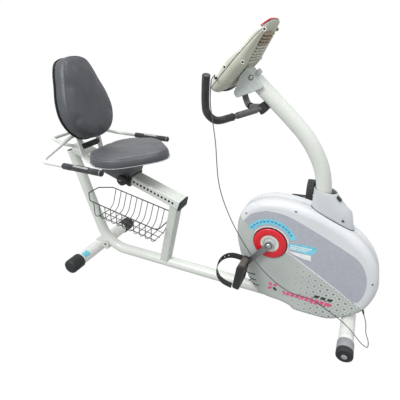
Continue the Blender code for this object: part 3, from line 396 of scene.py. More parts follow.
class Finish:
    """A Principled material whose nodes are added by short calls."""

    def __init__(self, name, colour, rough=0.5, metal=0.0, **sockets):
        self.mat = bpy.data.materials.new(name)
        self.mat.use_nodes = True
        self.nodes = self.mat.node_tree.nodes
        self.links = self.mat.node_tree.links
        self.bsdf = self.nodes["Principled BSDF"]
        self.bsdf.inputs["Base Color"].default_value = (*colour, 1)
        self.bsdf.inputs["Roughness"].default_value = rough
        self.bsdf.inputs["Metallic"].default_value = metal
        for key, value in sockets.items():
            self.bsdf.inputs[key.replace("_", " ")].default_value = value
        self.place = self.nodes.new("ShaderNodeTexCoord").outputs["Object"]
        self.last_bump = None

    def feed(self, socket, value):
        if isinstance(value, bpy.types.NodeSocket):
            self.links.new(value, socket)
        else:
            socket.default_value = value

    def math(self, op, a, b=0.0):
        node = self.nodes.new("ShaderNodeMath")
        node.operation = op
        self.feed(node.inputs[0], a)
        self.feed(node.inputs[1], b)
        return node.outputs[0]

    def stretched(self, sx, sy, sz):
        node = self.nodes.new("ShaderNodeMapping")
        self.links.new(self.place, node.inputs["Vector"])
        node.inputs["Scale"].default_value = (sx, sy, sz)
        return node.outputs["Vector"]

    def noise(self, scale, detail=3.0, rough=0.5, place=None):
        node = self.nodes.new("ShaderNodeTexNoise")
        self.links.new(place or self.place, node.inputs["Vector"])
        node.inputs["Scale"].default_value = scale
        node.inputs["Detail"].default_value = detail
        node.inputs["Roughness"].default_value = rough
        return node.outputs["Fac"]

    def cells(self, scale, feature="F1", place=None):
        node = self.nodes.new("ShaderNodeTexVoronoi")
        node.feature = feature
        self.links.new(place or self.place, node.inputs["Vector"])
        node.inputs["Scale"].default_value = scale
        return node.outputs["Distance"]

    def span(self, value, lo, hi, to_lo=0.0, to_hi=1.0):
        node = self.nodes.new("ShaderNodeMapRange")
        self.feed(node.inputs["Value"], value)
        for key, v in (("From Min", lo), ("From Max", hi), ("To Min", to_lo), ("To Max", to_hi)):
            node.inputs[key].default_value = v
        return node.outputs["Result"]

    def mix(self, share, a, b):
        node = self.nodes.new("ShaderNodeMix")
        node.data_type = "RGBA"
        self.feed(node.inputs["Factor"], share)
        for key, value in ((6, a), (7, b)):
            value = value if isinstance(value, bpy.types.NodeSocket) else (*value, 1)
            self.feed(node.inputs[key], value)
        return node.outputs[2]

    def colour(self, socket):
        self.links.new(socket, self.bsdf.inputs["Base Color"])
        return self

    def rough(self, socket):
        self.links.new(socket, self.bsdf.inputs["Roughness"])
        return self

    def bump(self, height, strength, depth):
        node = self.nodes.new("ShaderNodeBump")
        node.inputs["Strength"].default_value = strength
        node.inputs["Distance"].default_value = depth
        self.links.new(height, node.inputs["Height"])
        if self.last_bump:
            self.links.new(self.last_bump, node.inputs["Normal"])
        self.last_bump = node.outputs["Normal"]
        self.links.new(self.last_bump, self.bsdf.inputs["Normal"])
        return self

    def worn(self, colour, edge, amount=0.5):
        """Edges a little lighter or darker than the rest."""
        geometry = self.nodes.new("ShaderNodeNewGeometry")
        edges = self.span(geometry.outputs["Pointiness"], 0.52, 0.6)
        broken = self.math("MULTIPLY", edges, self.span(self.noise(90, 4), 0.35, 0.65))
        return self.mix(self.math("MULTIPLY", broken, amount), colour, edge)


def pearl(name, light, dark, rough=0.3, coat=0.35):
    """Gloss paint with a faint pearl drift, orange peel and dust."""
    f = Finish(name, light, rough, Coat_Weight=coat, Coat_Roughness=0.12)
    drift = f.mix(f.span(f.noise(3.2, 4), 0.3, 0.7), light, dark)
    fleck = f.span(f.cells(2600), 0.0, 0.55, 0.35, 0.0)
    lit = tuple(min(1.0, v * 1.12) for v in light)
    f.colour(f.worn(f.mix(fleck, drift, lit), tuple(v * 0.72 for v in dark), 0.35))
    f.rough(f.span(f.noise(26, 4, 0.6), 0.2, 0.8, rough - 0.06, rough + 0.1))
    return f.bump(f.noise(420, 2), 0.05, 0.0006).mat


def plastic(name, colour, rough, grain=900, strength=0.18, coat=0.0):
    """Moulded plastic with a fine spark grain."""
    f = Finish(name, colour, rough, 0.0, Coat_Weight=coat)
    dark = tuple(v * 0.86 for v in colour)
    light = tuple(min(1.0, v * 1.5 + 0.008) for v in colour)
    f.colour(f.worn(f.mix(f.span(f.noise(14, 5, 0.6), 0.3, 0.7), dark, colour), light, 0.5))
    f.rough(f.span(f.noise(60, 4, 0.65), 0.2, 0.8, rough - 0.08, rough + 0.1))
    return f.bump(f.noise(grain, 3, 0.6), strength, 0.0004).mat


def foam(name):
    """Closed-cell foam sleeve: pores and a dusty sheen."""
    f = Finish(name, srgb(44, 45, 47), 0.88, Sheen_Weight=0.25, Sheen_Roughness=0.5)
    pores = f.cells(1100)
    soft = f.mix(f.span(f.noise(38, 5, 0.65), 0.3, 0.75), srgb(34, 35, 37), srgb(60, 61, 63))
    f.colour(f.mix(f.span(pores, 0.0, 0.5, 0.35, 0.0), soft, srgb(20, 20, 21)))
    return f.bump(pores, 0.5, 0.0005).bump(f.noise(70, 3), 0.15, 0.001).mat


def vinyl(name, colour, rough=0.42):
    """Upholstery vinyl: leather-grain cells over a fine wrinkle."""
    f = Finish(name, colour, rough, Coat_Weight=0.12, Coat_Roughness=0.35)
    dark = tuple(v * 0.8 for v in colour)
    light = tuple(min(1.0, v * 1.22) for v in colour)
    warp = f.stretched(1.0, 1.0, 1.25)
    cell = f.cells(620, "DISTANCE_TO_EDGE", warp)
    drift = f.mix(f.span(f.noise(7, 5, 0.6), 0.3, 0.7), dark, light)
    f.colour(f.mix(f.span(cell, 0.0, 0.1, 0.45, 0.0), drift, tuple(v * 0.45 for v in colour)))
    f.rough(f.span(f.noise(45, 5, 0.6), 0.2, 0.8, rough - 0.05, rough + 0.12))
    f.bump(f.span(cell, 0.0, 0.16), 0.32, 0.0004)
    return f.bump(f.noise(150, 4, 0.6), 0.14, 0.0012).mat


def brushed(name, colour, rough, sx, sy, sz):
    """Metal with fine lines; the small scale is along the lines."""
    f = Finish(name, colour, rough, 1.0)
    lines = f.noise(1.0, 3, 0.6, f.stretched(sx, sy, sz))
    f.colour(f.mix(f.span(f.noise(22, 4), 0.3, 0.7), tuple(v * 0.82 for v in colour), colour))
    f.rough(f.span(lines, 0.2, 0.8, rough - 0.08, rough + 0.14))
    return f.bump(lines, 0.1, 0.0003).mat


PRINT_START = (0.634, 0.2012)
RING_PITCH = 0.0335
RING_ROW = 0.866
BOUNDARY = ((0.426, 0.353, 0.5755), (0.214, 0.468, 0.825))


def housing_paint(name):
    """Pearl above a sloping boundary; below it a grey-green print of rings that fade out rearwards."""
    f = Finish(name, srgb(170, 178, 172), 0.3, Coat_Weight=0.4, Coat_Roughness=0.12)
    split = f.nodes.new("ShaderNodeSeparateXYZ")
    f.links.new(f.place, split.inputs[0])
    place_x = f.math("SUBTRACT", split.outputs["X"], SHIFT.x)
    x = f.math("SUBTRACT", place_x, PRINT_START[0])
    z = f.math("SUBTRACT", split.outputs["Z"], PRINT_START[1])
    c, s = cos(radians(30)) / RING_PITCH, sin(radians(30)) / RING_PITCH
    u = f.math("SUBTRACT", f.math("MULTIPLY", x, c), f.math("MULTIPLY", z, s))
    v = f.math("ADD", f.math("MULTIPLY", x, s), f.math("MULTIPLY", z, c))
    row = f.math("FLOOR", f.math("ADD", f.math("DIVIDE", v, RING_ROW), 0.5))
    u = f.math("ADD", u, f.math("MULTIPLY", f.math("MODULO", f.math("ABSOLUTE", row), 2.0), 0.5))
    du = f.math("SUBTRACT", u, f.math("FLOOR", f.math("ADD", u, 0.5)))
    dv = f.math("SUBTRACT", v, f.math("MULTIPLY", row, RING_ROW))
    away = f.math("SQRT", f.math("ADD", f.math("MULTIPLY", du, du), f.math("MULTIPLY", dv, dv)))
    ring = f.span(f.math("ABSOLUTE", f.math("SUBTRACT", away, 0.33)), 0.04, 0.10, 1.0, 0.0)
    dot = f.span(away, 0.10, 0.17, 1.0, 0.0)
    fade = f.span(place_x, 0.43, 0.64)
    base = f.mix(f.span(f.noise(6, 3), 0.3, 0.7), srgb(174, 182, 178), srgb(190, 196, 192))
    lit = f.mix(f.math("MULTIPLY", ring, f.math("MULTIPLY", fade, 0.75)), base, srgb(214, 219, 216))
    print_colour = f.mix(f.math("MULTIPLY", dot, f.math("MULTIPLY", fade, 0.85)), lit, srgb(92, 98, 100))
    front, rear = (f.math("SUBTRACT", z0 + x0 * fall, f.math("MULTIPLY", place_x, fall))
        for x0, z0, fall in BOUNDARY)
    ahead = f.span(place_x, CRANK[0] - 0.0001, CRANK[0] + 0.0001)
    behind = f.math("SUBTRACT", 1.0, ahead)
    edge = f.math("ADD", f.math("MULTIPLY", front, ahead), f.math("MULTIPLY", rear, behind))
    below = f.span(f.math("SUBTRACT", edge, split.outputs["Z"]), -0.0004, 0.0004)
    drift = f.mix(f.span(f.noise(3.2, 4), 0.3, 0.7), srgb(221, 224, 227), srgb(209, 213, 216))
    f.colour(f.mix(below, drift, print_colour))
    return f.bump(f.noise(500, 2), 0.04, 0.0005).mat


def floor_finish():
    f = Finish("studio_floor", (0.0, 0.0, 0.0), 1.0, Specular_IOR_Level=0.0, Emission_Color=(1, 1, 1, 1),
        Emission_Strength=1.0)
    f.colour(f.mix(f.span(f.noise(1.5, 3), 0.3, 0.7), (0.004, 0.004, 0.004), (0.012, 0.012, 0.012)))
    return f.mat


FRAME = pearl("frame_paint", srgb(222, 226, 220), srgb(208, 213, 207))
# A lighter copy of the frame paint for the floor tubes: painted light on their upper faces.
FOOT_PAINT_LIT = pearl("foot_painted_light", srgb(242, 244, 239), srgb(230, 233, 228))
# A darker copy of the frame paint for the strut: painted shade on its sides.
FRAME_SHADED = pearl("strut_painted_shade", srgb(210, 216, 210), srgb(198, 204, 198))
HOUSING_WHITE = pearl("housing_pearl", srgb(221, 224, 227), srgb(209, 213, 216), 0.26, 0.5)
COLLAR_GREY = plastic("collar_grey", srgb(150, 154, 156), 0.45, 700, 0.1)
# Near-black for the floors of the rail holes: painted shade of the tube's hollow inside.
HOLE_SHADE = plastic("hole_shadow", srgb(5, 5, 6), 0.95, 700, 0.1)
PANEL = pearl("panel_print", srgb(180, 184, 194), srgb(172, 176, 186), 0.34, 0.3)
HOUSING_PAINT = housing_paint("housing_paint")
SHROUD = pearl("shroud_grey", srgb(205, 210, 212), srgb(195, 201, 203), 0.38, 0.1)
CYAN = plastic("print_cyan", srgb(120, 200, 225), 0.35, 700, 0.04)
WHITE = plastic("print_white", srgb(240, 243, 245), 0.35, 700, 0.04)
PINK = plastic("print_pink", srgb(214, 92, 128), 0.35, 700, 0.04)
BLUE = plastic("print_blue", srgb(50, 140, 185), 0.35, 700, 0.04)
INK = plastic("print_dark", srgb(52, 54, 58), 0.4, 700, 0.04)
RED = plastic("red_plastic", srgb(222, 24, 40), 0.3, 800, 0.06, coat=0.4)
RING = plastic("ring_plastic", srgb(226, 222, 214), 0.38, 800, 0.08)
BLACK = plastic("black_plastic", srgb(40, 41, 43), 0.46)
CAP = plastic("cap_plastic", srgb(38, 40, 43), 0.52, 700, 0.25)
TREAD_BROWN = plastic("pedal_tread", srgb(92, 86, 80), 0.62, 600, 0.3)
TREAD = plastic("wheel_rubber", srgb(46, 47, 49), 0.72, 500, 0.3)
FOAM = foam("grip_foam")
# The seat's vinyl is a lighter copy of the backrest's vinyl: painted light on its upturned top.
SEAT_VINYL_LIT = vinyl("seat_vinyl_painted_light", srgb(86, 88, 92), 0.38)
BACK_VINYL = vinyl("back_vinyl", srgb(74, 77, 82), 0.38)
VINYL_DARK = vinyl("board_vinyl", srgb(48, 49, 52), 0.5)
UNDER = plastic("under_board", srgb(40, 40, 42), 0.65, 500, 0.3)
PIPING = plastic("piping", srgb(158, 163, 168), 0.3, 900, 0.1, coat=0.3)
STEEL = brushed("bright_steel", srgb(205, 206, 208), 0.26, 40, 900, 40)
ARM_STEEL = brushed("crank_steel", srgb(172, 173, 175), 0.3, 40, 900, 40)
PLATE = brushed("contact_plate", srgb(214, 215, 216), 0.22, 60, 900, 900)
IRON = brushed("machined_iron", srgb(120, 120, 122), 0.42, 30, 900, 30)
BELT = plastic("drive_belt", srgb(34, 34, 36), 0.75, 1200, 0.35)
LEAD_SKIN = plastic("lead_skin", srgb(84, 86, 88), 0.45, 1500, 0.1)
CONSOLE_SKIN = plastic("console_plastic", srgb(226, 228, 216), 0.46, 1200, 0.14)
CONSOLE_BACK = plastic("console_rear", srgb(204, 206, 190), 0.48, 1200, 0.14)
CONSOLE_WARM = plastic("console_vent", srgb(168, 152, 130), 0.52, 1000, 0.2)
COVER_SKIN = plastic("cover_plastic", srgb(202, 209, 206), 0.44, 1100, 0.14)
LENS = Finish("display_lens", srgb(40, 48, 46), 0.1, 0.0, Coat_Weight=1.0).mat
CARRIAGE = plastic("carriage_paint", srgb(88, 92, 95), 0.42, 700, 0.12, coat=0.1)
WIRE = plastic("coated_wire", srgb(58, 59, 62), 0.34, 900, 0.06, coat=0.3)
BAR_GREY = plastic("bar_grey", srgb(92, 90, 93), 0.34, 700, 0.06, coat=0.3)


# ---------------------------------------------------------------- camera and lights
def build_view():
    cam = add("camera", bpy.data.cameras.new("camera"))
    cam.data.lens = FOCAL
    cam.data.sensor_width = 36.0
    cam.location = Vector(EYE) + SHIFT
    cam.rotation_euler = Vector(LOOK).to_track_quat("-Z", "Y").to_euler()
    bpy.context.scene.camera = cam


def area_light(name, place, target, size, power):
    lamp = add(name, bpy.data.lights.new(name, "AREA"))
    lamp.data.shape = "RECTANGLE"
    lamp.data.size, lamp.data.size_y = size
    lamp.data.energy = power
    lamp.location = place
    lamp.rotation_euler = (Vector(target) - Vector(place)).to_track_quat("-Z", "Y").to_euler()


def build_studio():
    world = bpy.data.worlds.new("studio")
    world.use_nodes = True
    nodes, links = world.node_tree.nodes, world.node_tree.links
    split = nodes.new("ShaderNodeSeparateXYZ")
    links.new(nodes.new("ShaderNodeTexCoord").outputs["Generated"], split.inputs[0])
    height = nodes.new("ShaderNodeMapRange")
    links.new(split.outputs["Z"], height.inputs["Value"])
    for key, value in (("From Min", -1.0), ("From Max", 1.0), ("To Min", 0.4), ("To Max", 0.9)):
        height.inputs[key].default_value = value
    links.new(height.outputs["Result"], nodes["Background"].inputs["Strength"])
    nodes["Background"].inputs["Color"].default_value = (1.0, 1.0, 1.0, 1)
    bpy.context.scene.world = world
    bpy.context.scene.view_settings.view_transform = "Standard"
    area_light("key", (-1.2, -2.6, 3.4), (0, 0, 0.5), (1.4, 1.4), 92)
    area_light("top", (0.2, 0.2, 3.6), (0, 0, 0.4), (2.2, 1.6), 42)
    bowl = [(9.0, 0.0), (10.5, 0.25), (11.6, 1.1), (12.2, 2.6), (12.4, 7.0)]
    rows = [[(u, v, z) for u, v in circle(radius, 64)] for radius, z in bowl]
    backdrop = Shape().rings(rows)
    backdrop.faces.pop()
    obj = add("floor", backdrop.mesh("floor"))
    obj.data.materials.append(floor_finish())
    obj.visible_diffuse = False
    obj.visible_glossy = False


# ---------------------------------------------------------------- lead
def build_lead():
    """A stiff lead from the housing's foot over the handlebar to the console."""
    path = [p + SHIFT for p in spline(LEAD, 6)]
    curve = bpy.data.curves.new("lead", "CURVE")
    curve.dimensions = "3D"
    curve.bevel_depth = LEAD_THICK / 2
    curve.bevel_resolution = 4
    curve.use_fill_caps = True
    line = curve.splines.new("POLY")
    line.points.add(len(path) - 1)
    for point, p in zip(line.points, path):
        point.co = (p.x, p.y, p.z, 1.0)
    line.use_smooth = True
    lead = add("lead", curve)
    curve.materials.append(LEAD_SKIN)
    settle(lead, ["cord"])
    end = Vector(LEAD[-1])
    plug = Shape().turned(mm((0, 0.8), (2.4, 0.8), (3, 3), (4.4, 4.6), (4.8, 6.2), (4.8, 15), (4.2, 16.8),
        (3.4, 17.7), (0, 17.7)), end, (0, 1, 0), 24)
    for k in range(3):
        z = k * 2.4
        plug.turned(mm((4.6, 7.5 + z), (5.2, 8.1 + z), (5.2, 8.7 + z), (4.6, 9.3 + z)), end, (0, 1, 0), 24)
    cap = plug.piece("lead_plug", BLACK, "black", ["cord_plug"])
    gland = lathe("lead_relief", BLACK, "black", mm((2, 0), (4.8, 0), (4.6, 6), (3.4, 16), (2.7, 24),
        (2, 24)), Vector(LEAD[0]) + Vector((-0.0085, 0.0022, 0.021)), (0.36, -0.09, -0.93), 24)


# ---------------------------------------------------------------- frame
BEAM_PATH = [(0.712, 0, BEAM_Z), (-0.686, 0, BEAM_Z), (-0.868, 0, 0.652)]


def ring_on_tube(middle, half_x, half_y, r, bead):
    """A weld bead where a square bar stands on a tube that runs along X."""
    outline = rounded_rect(2 * half_x, 2 * half_y, 0.005, 4)
    dense = []
    for a, b in zip(outline, outline[1:] + outline[:1]):
        a, b = Vector(a), Vector(b)
        count = max(1, int((b - a).length / 0.004))
        dense += [a.lerp(b, k / count) for k in range(count)]
    path = []
    for i, p in enumerate(dense):
        z = BEAM_Z + sqrt(max(r * r - p.y * p.y, 0.0))
        path.append(Vector((middle + p.x + (z - BEAM_Z - r) * 0.2, p.y, z + 0.0004 * sin(i * 1.9))))
    return Shape().sweep(path, circle(bead, 8), closed=True)


def build_frame():
    path = fillet(BEAM_PATH, 0.175, 22)
    beam = Shape().tube(path, BEAM_R, 40).piece("beam_tube", FRAME, "frame", ["main_beam"])
    x, z = FRONT_STAB
    tool = Shape().tube([(x, -0.1, z), (x, 0.1, z)], FRONT_R + 0.0004, 40)
    cut(beam, tool.cutter("nose_cutter"))
    top = Vector(path[-1])
    lean = (top - Vector(path[-2])).normalized()
    lathe("post_cap", BLACK, "black", mm((0, 0.4), (29.2, 0.4), (29.2, 3), (27, 4.8), (12, 6.2), (0, 6.4)),
        top, lean, 32)
    low = Vector((-0.2675, 0, BEAM_Z + 0.02))
    high = Vector((-0.186, 0, 0.44))
    form = Shape().sweep([low, high], rounded_rect(0.064, 0.048, 0.0055, 4))
    # The strut wears the darker copy of the frame paint: painted shade.
    form.piece("strut_tube", FRAME_SHADED, "frame", ["front_strut"])
    bead_x = low.x + (high.x - low.x) * (BEAM_R - 0.02) / (high.z - low.z)
    ring_on_tube(bead_x, 0.025, 0.029, BEAM_R, 0.0028).piece("strut_weld", FRAME, "frame")
    build_rail()
    build_rear_foot()
    build_front_foot()


def build_rail():
    a = Vector((RAIL_X[0], 0, rail_point(RAIL_X[0])))
    b = Vector((RAIL_X[1], 0, rail_point(RAIL_X[1])))
    along = (b - a).normalized()
    form = Shape().sweep([a, b], rounded_rect(2 * RAIL_WIDE, 2 * RAIL_HALF, 0.0045, 4))
    rail = form.piece("rail_tube", FRAME, "frame", ["seat_rail"])
    holes = Shape()
    hole_shade_discs = Shape()
    for i in range(27):
        middle = b - along * (0.036 + i * HOLE_STEP)
        for s in (-1.0, 1.0):
            y0, y1 = sorted((s * (RAIL_WIDE - 0.0028), s * (RAIL_WIDE + 0.01)))
            holes.turned([(0, y0), (0.0072, y0), (0.0072, y1), (0, y1)], middle, (0, 1, 0), 20)
            y = s * (RAIL_WIDE - 0.002)
            hole_shade_discs.turned([(0, y - 0.0004), (0.0071, y - 0.0004), (0.0071, y + 0.0004), (0, y + 0.0004)],
                middle, (0, 1, 0), 16)
    cut(rail, holes.cutter("rail_hole_cutter"))
    # Black discs just inside each hole: painted shade for the dark inside of the tube.
    hole_shade_discs.piece("rail_hole_painted_shade", HOLE_SHADE, "black")
    turn = placed(b + along * 0.0004, RAIL_SLOPE)
    h, w = RAIL_HALF + 0.002, RAIL_WIDE + 0.002
    form = Shape().prism([(0, -h), (0.01, -h), (0.014, -h + 0.006), (0.009, h), (0, h)], -w, w, turn)
    form.piece("rail_cap", CAP, "black", ["rail_end_cap"], bevel=0.003, segments=3)


def build_rear_foot():
    x, z = REAR_STAB
    form = Shape().tube([(x, -REAR_HALF, z), (x, REAR_HALF, z)], REAR_R, 48)
    # The floor tube wears the lighter copy of the frame paint: painted light.
    form.piece("rear_foot_tube", FOOT_PAINT_LIT, "frame", ["rear_stabilizer"])
    for side, s in SIDES:
        profile = mm((0, 0), (38.2, 0), (40, 1.2), (41.4, 4), (42, 8), (42, 74), (41.2, 79.5),
            (38.8, 84.8), (35, 87.8), (28, 89), (15, 89.5), (0, 89.5))
        cap = Shape().turned(profile, (x, s * (REAR_HALF + 0.0004), z), (0, s, 0), 56)
        cap.turned(mm((40.5, 14.5), (42, 16), (42, 20), (40.5, 21.5)), (x, s * (REAR_HALF + 0.0004),
            z + 0.0008), (0, s, 0), 56)
        cap.piece("rear_foot_cap_" + side, CAP, "black", ["rear_cap_" + side])
    rows = []
    for y in (-0.196, -0.15):
        arc_out = [(radians(a), REAR_R + 0.0006) for a in range(8, 69, 6)]
        arc_in = [(a, REAR_R - 0.0006) for a, _ in reversed(arc_out)]
        rows.append([(x + r * sin(a), y, z + r * cos(a)) for a, r in arc_out + arc_in])
    Shape().rings(rows).piece("plain_label", CYAN, "frame")
    form = Shape().prism(rounded_rect(0.092, 0.064, 0.016, 5), -0.037, 0.037,
        placed((x + 0.032, 0, 0.064), 0.0))
    obj = form.piece("rear_bracket", FRAME, "frame", ["rear_saddle"])
    cut(obj, Shape().tube([(x, -0.1, z), (x, 0.1, z)], REAR_R + 0.0004, 48).cutter("bracket_cutter"))
    for side, s in SIDES:
        lathe("bracket_bolt_" + side, INK, "black", mm((0, 0), (6.2, 0), (6.2, 3), (5, 4.6), (0, 5.2)),
            (x + 0.056, s * 0.0368, 0.068), (0, s, 0), 18)


def build_front_foot():
    """The floor tube, its grey collars, and a black wheel that turns on each collar's stub."""
    x, z = FRONT_STAB
    form = Shape().tube([(x, -FRONT_HALF, z), (x, FRONT_HALF, z)], FRONT_R, 48)
    # The floor tube wears the lighter copy of the frame paint: painted light.
    form.piece("front_foot_tube", FOOT_PAINT_LIT, "frame", ["front_stabilizer"])
    for side, s in SIDES:
        start = (x, s * (FRONT_HALF + 0.0004), z)
        profile = mm((0, 0), (33.5, 0), (35, 1), (35.8, 3.5), (35.8, 44), (35, 46.6), (33, 48), (5.6, 48),
            (5.6, 49), (0, 49))
        lathe("front_foot_collar_" + side, COLLAR_GREY, "black", profile, start, (0, s, 0), 56,
            ["front_cap_" + side])
        stub = mm((0, 77), (12.5, 77.6), (13.2, 79), (12.6, 82.2), (10, 84.2), (5, 85), (0, 85))
        lathe("wheel_bolt_" + side, STEEL, "steel", stub, start, (0, s, 0), 32)
        tyre = mm((6.2, 49), (29, 49), (32.5, 49.6), (35, 51.2), (36, 53.5), (36, 62), (35.4, 62.8),
            (36, 63.6), (36, 72.2), (35, 75), (32.5, 76.8), (29, 77.5), (26.5, 77.2), (25.5, 75.5),
            (17.5, 75), (16.5, 76.8), (6.2, 76.8))
        lathe("roller_" + side, TREAD, "black", tyre, start, (0, s, 0), 56, ["transport_wheel_" + side],
            "wheel_" + side)


# ---------------------------------------------------------------- housing
def decal(name, finish, s, outline, lift):
    """A thin print on the housing's flat side."""
    y = s * (HALF_W + lift)
    return Shape().prism(outline, y - s * 0.0005, y).piece(name, finish, "housing")


OUTER = [(p.x, p.y) for p in loop_spline(HOUSING, 5)]


def side_y(x, z):
    """How far the housing's skin stands from the middle at a place on its side."""
    p = Vector((x, z))
    near = ROUND_IN
    for a, b in zip(OUTER, OUTER[1:] + OUTER[:1]):
        a, b = Vector(a), Vector(b)
        t = min(1.0, max(0.0, (p - a).dot(b - a) / max((b - a).length_squared, 1e-12)))
        near = min(near, (p - a.lerp(b, t)).length)
    return HALF_W - ROUND_DEEP + ROUND_DEEP * sqrt(max(0.0, 1.0 - (1.0 - near / ROUND_IN) ** 2))


def arc(radius, start, end, steps):
    """Points round the crank axis, from one angle to another."""
    angles = [radians(start + (end - start) * k / steps) for k in range(steps + 1)]
    return [(CRANK[0] + radius * cos(a), CRANK[1] + radius * sin(a)) for a in angles]


def disc_bore(name, s, radius):
    """A cutter round the crank axis, through one side of the housing."""
    profile = [(0, s * 0.05), (radius, s * 0.05), (radius, s * 0.09), (0, s * 0.09)]
    return Shape().turned(profile, (CRANK[0], 0, CRANK[1]), (0, 1, 0), 72).cutter(name)


def build_housing():
    skin = [(0.0004, 0.0002), (0.0, 0.001)]
    skin += [(ROUND_IN * (1 - cos(a)), HALF_W - ROUND_DEEP + ROUND_DEEP * sin(a))
        for a in (radians(90 * k / 12) for k in range(13))]
    inner = mm((36, 66.5), (14, 56), (3, 36), (3, 0.2))
    for side, s in SIDES:
        rows = []
        for amount, y in skin + inner:
            rows.append([(p[0], s * y, p[1]) for p in inset(OUTER, amount)])
        m = len(skin)
        n = len(OUTER)
        shell = Shape()
        shell.verts = [Vector(p) for row in rows for p in row]
        for i in list(range(m - 1)) + list(range(m, len(rows) - 1)) + [len(rows) - 1]:
            j = (i + 1) % len(rows)
            for k in range(n):
                shell.faces.append((i * n + k, i * n + (k + 1) % n, j * n + (k + 1) % n, j * n + k))
        shell.faces += [tuple(range((m - 1) * n, m * n)), tuple(range(m * n, (m + 1) * n))]
        obj = shell.piece("housing_shell_" + side, HOUSING_PAINT, "housing", ["housing_" + side], sharp=30)
        x, z = FRONT_STAB
        cut(obj, disc_bore("disc_cutter_" + side, s, DISC_R + 0.004))
        for name, ends, radius in (("beam_slot_", [(0.1, 0, BEAM_Z), (0.9, 0, BEAM_Z)], BEAM_R + 0.0014),
                ("mast_slot_", [(0.5455, 0, 0.45), (0.5425, 0, 0.7)], 0.0345),
                ("foot_slot_", [(x, s * -0.1, z), (x, s * 0.1, z)], FRONT_R + 0.0018)):
            cut(obj, Shape().tube(ends, radius, 32).cutter(name + side))
        build_prints(side, s)
        build_vents(side, s)
        build_screws(side, s)


def build_vents(side, s):
    """Three ribs and a groove that follow the skin near the rear edge."""
    def over_skin(points, lift):
        path = []
        for (x0, z0), (x1, z1) in zip(points, points[1:]):
            for k in range(9):
                x, z = x0 + (x1 - x0) * k / 8, z0 + (z1 - z0) * k / 8
                path.append(Vector((x, s * (side_y(x, z) + lift), z)))
        return path

    for k, ends in enumerate((((0.246, 0.1745), (0.2915, 0.177)), ((0.253, 0.146), (0.299, 0.143)),
            ((0.26, 0.117), (0.316, 0.115)))):
        form = Shape().tube(over_skin(ends, -0.001), 0.0032, 12, 0.0012)
        form.piece("vent_rib_%s_%d" % (side, k + 1), INK, "housing")
    form = Shape().tube(over_skin(mm((229, 199), (275, 116.5), (315, 58)), -0.0004), 0.0011, 8)
    form.piece("vent_groove_" + side, INK, "housing")


PANEL_TOP = mm((214, 468), (246, 509), (292, 534), (337, 544), (419, 537), (537, 490), (649, 439),
    (737, 390), (778, 318), (786, 244), (770, 180), (744, 170))
DIAGONAL = mm((744, 170), (680, 212.5), (588, 268), (494, 322), (426, 353))


def build_prints(side, s):
    """A panel, a boundary line, an arc band and plain flashes; no lettering."""
    top = [(p.x, p.y) for p in spline(PANEL_TOP, 4)]
    panel = top + DIAGONAL[1:] + arc(DISC_R + 0.012, -18, 152, 16)
    obj = decal("panel_print_" + side, PANEL, s, panel, 0.0003)
    cut(obj, disc_bore("print_cutter_" + side, s, DISC_R + 0.0062))
    seam = DIAGONAL + [(x - 0.0012, z - 0.0024) for x, z in reversed(DIAGONAL)]
    decal("panel_line_" + side, WHITE, s, seam, 0.00045)
    decal("arc_band_" + side, CYAN, s, arc(0.126, 22, 152, 28) + arc(0.098, 152, 22, 28), 0.0006)
    for k in range(13):
        a = 32 + k * 9.2
        dash = arc(0.116, a, a + 6.0, 3) + arc(0.1085, a + 6.0, a, 3)
        decal("arc_dash_%s_%d" % (side, k + 1), BLUE, s, dash, 0.00075)
    flash = mm((433, 376), (434, 401), (483, 409.5), (560, 409), (555, 380), (532, 364), (489, 365))
    decal("flash_blue_" + side, CYAN, s, flash, 0.0006)
    for k, (z0, tall) in enumerate(((0.396, 0.0048), (0.386, 0.0048), (0.377, 0.003))):
        bar = [(0.442, z0), (0.538 - k * 0.012, z0 + 0.001), (0.538 - k * 0.012, z0 + 0.001 - tall),
            (0.442, z0 - tall)]
        decal("flash_bar_%s_%d" % (side, k + 1), WHITE, s, bar, 0.00075)
    strip = mm((433.8, 360), (489, 361), (539, 362), (542, 335), (509.5, 337), (464.5, 347.5))
    decal("flash_white_" + side, WHITE, s, strip, 0.0006)
    sash = mm((433.6, 123.5), (517.5, 129), (608, 128), (662.6, 127), (661.6, 108), (590.1, 98.5),
        (520.3, 106), (440.4, 104.5))
    decal("sash_" + side, PINK, s, sash, 0.0006)
    for k in range(9):
        x = 0.452 + k * 0.0225
        gap = [(x, 0.13), (x + 0.004, 0.13), (x - 0.002, 0.1), (x - 0.006, 0.1)]
        decal("sash_gap_%s_%d" % (side, k + 1), HOUSING_PAINT, s, gap, 0.0007)
    for k in range(3):
        x = 0.58 + k * 0.03
        mark = [(x, 0.136), (x + 0.0215, 0.1375), (x + 0.0265, 0.1535), (x + 0.005, 0.152)]
        decal("mark_%s_%d" % (side, k + 1), INK, s, mark, 0.0006)
    build_badge(side, s)


def build_badge(side, s):
    """A plain round badge of four petals."""
    cx, cz = 0.384, 0.1345
    for k in range(4):
        a = radians(45 + 90 * k)
        d, n = Vector((cos(a), sin(a))), Vector((-sin(a), cos(a)))
        tips = mm((4, 0), (14, 8.5), (27, 4.5), (30.5, 0), (27, -4.5), (14, -8.5))
        petal = [(cx + d.x * u + n.x * v, cz + d.y * u + n.y * v) for u, v in tips]
        decal("badge_%s_%d" % (side, k + 1), PINK if k != 3 else INK, s, petal, 0.0006)


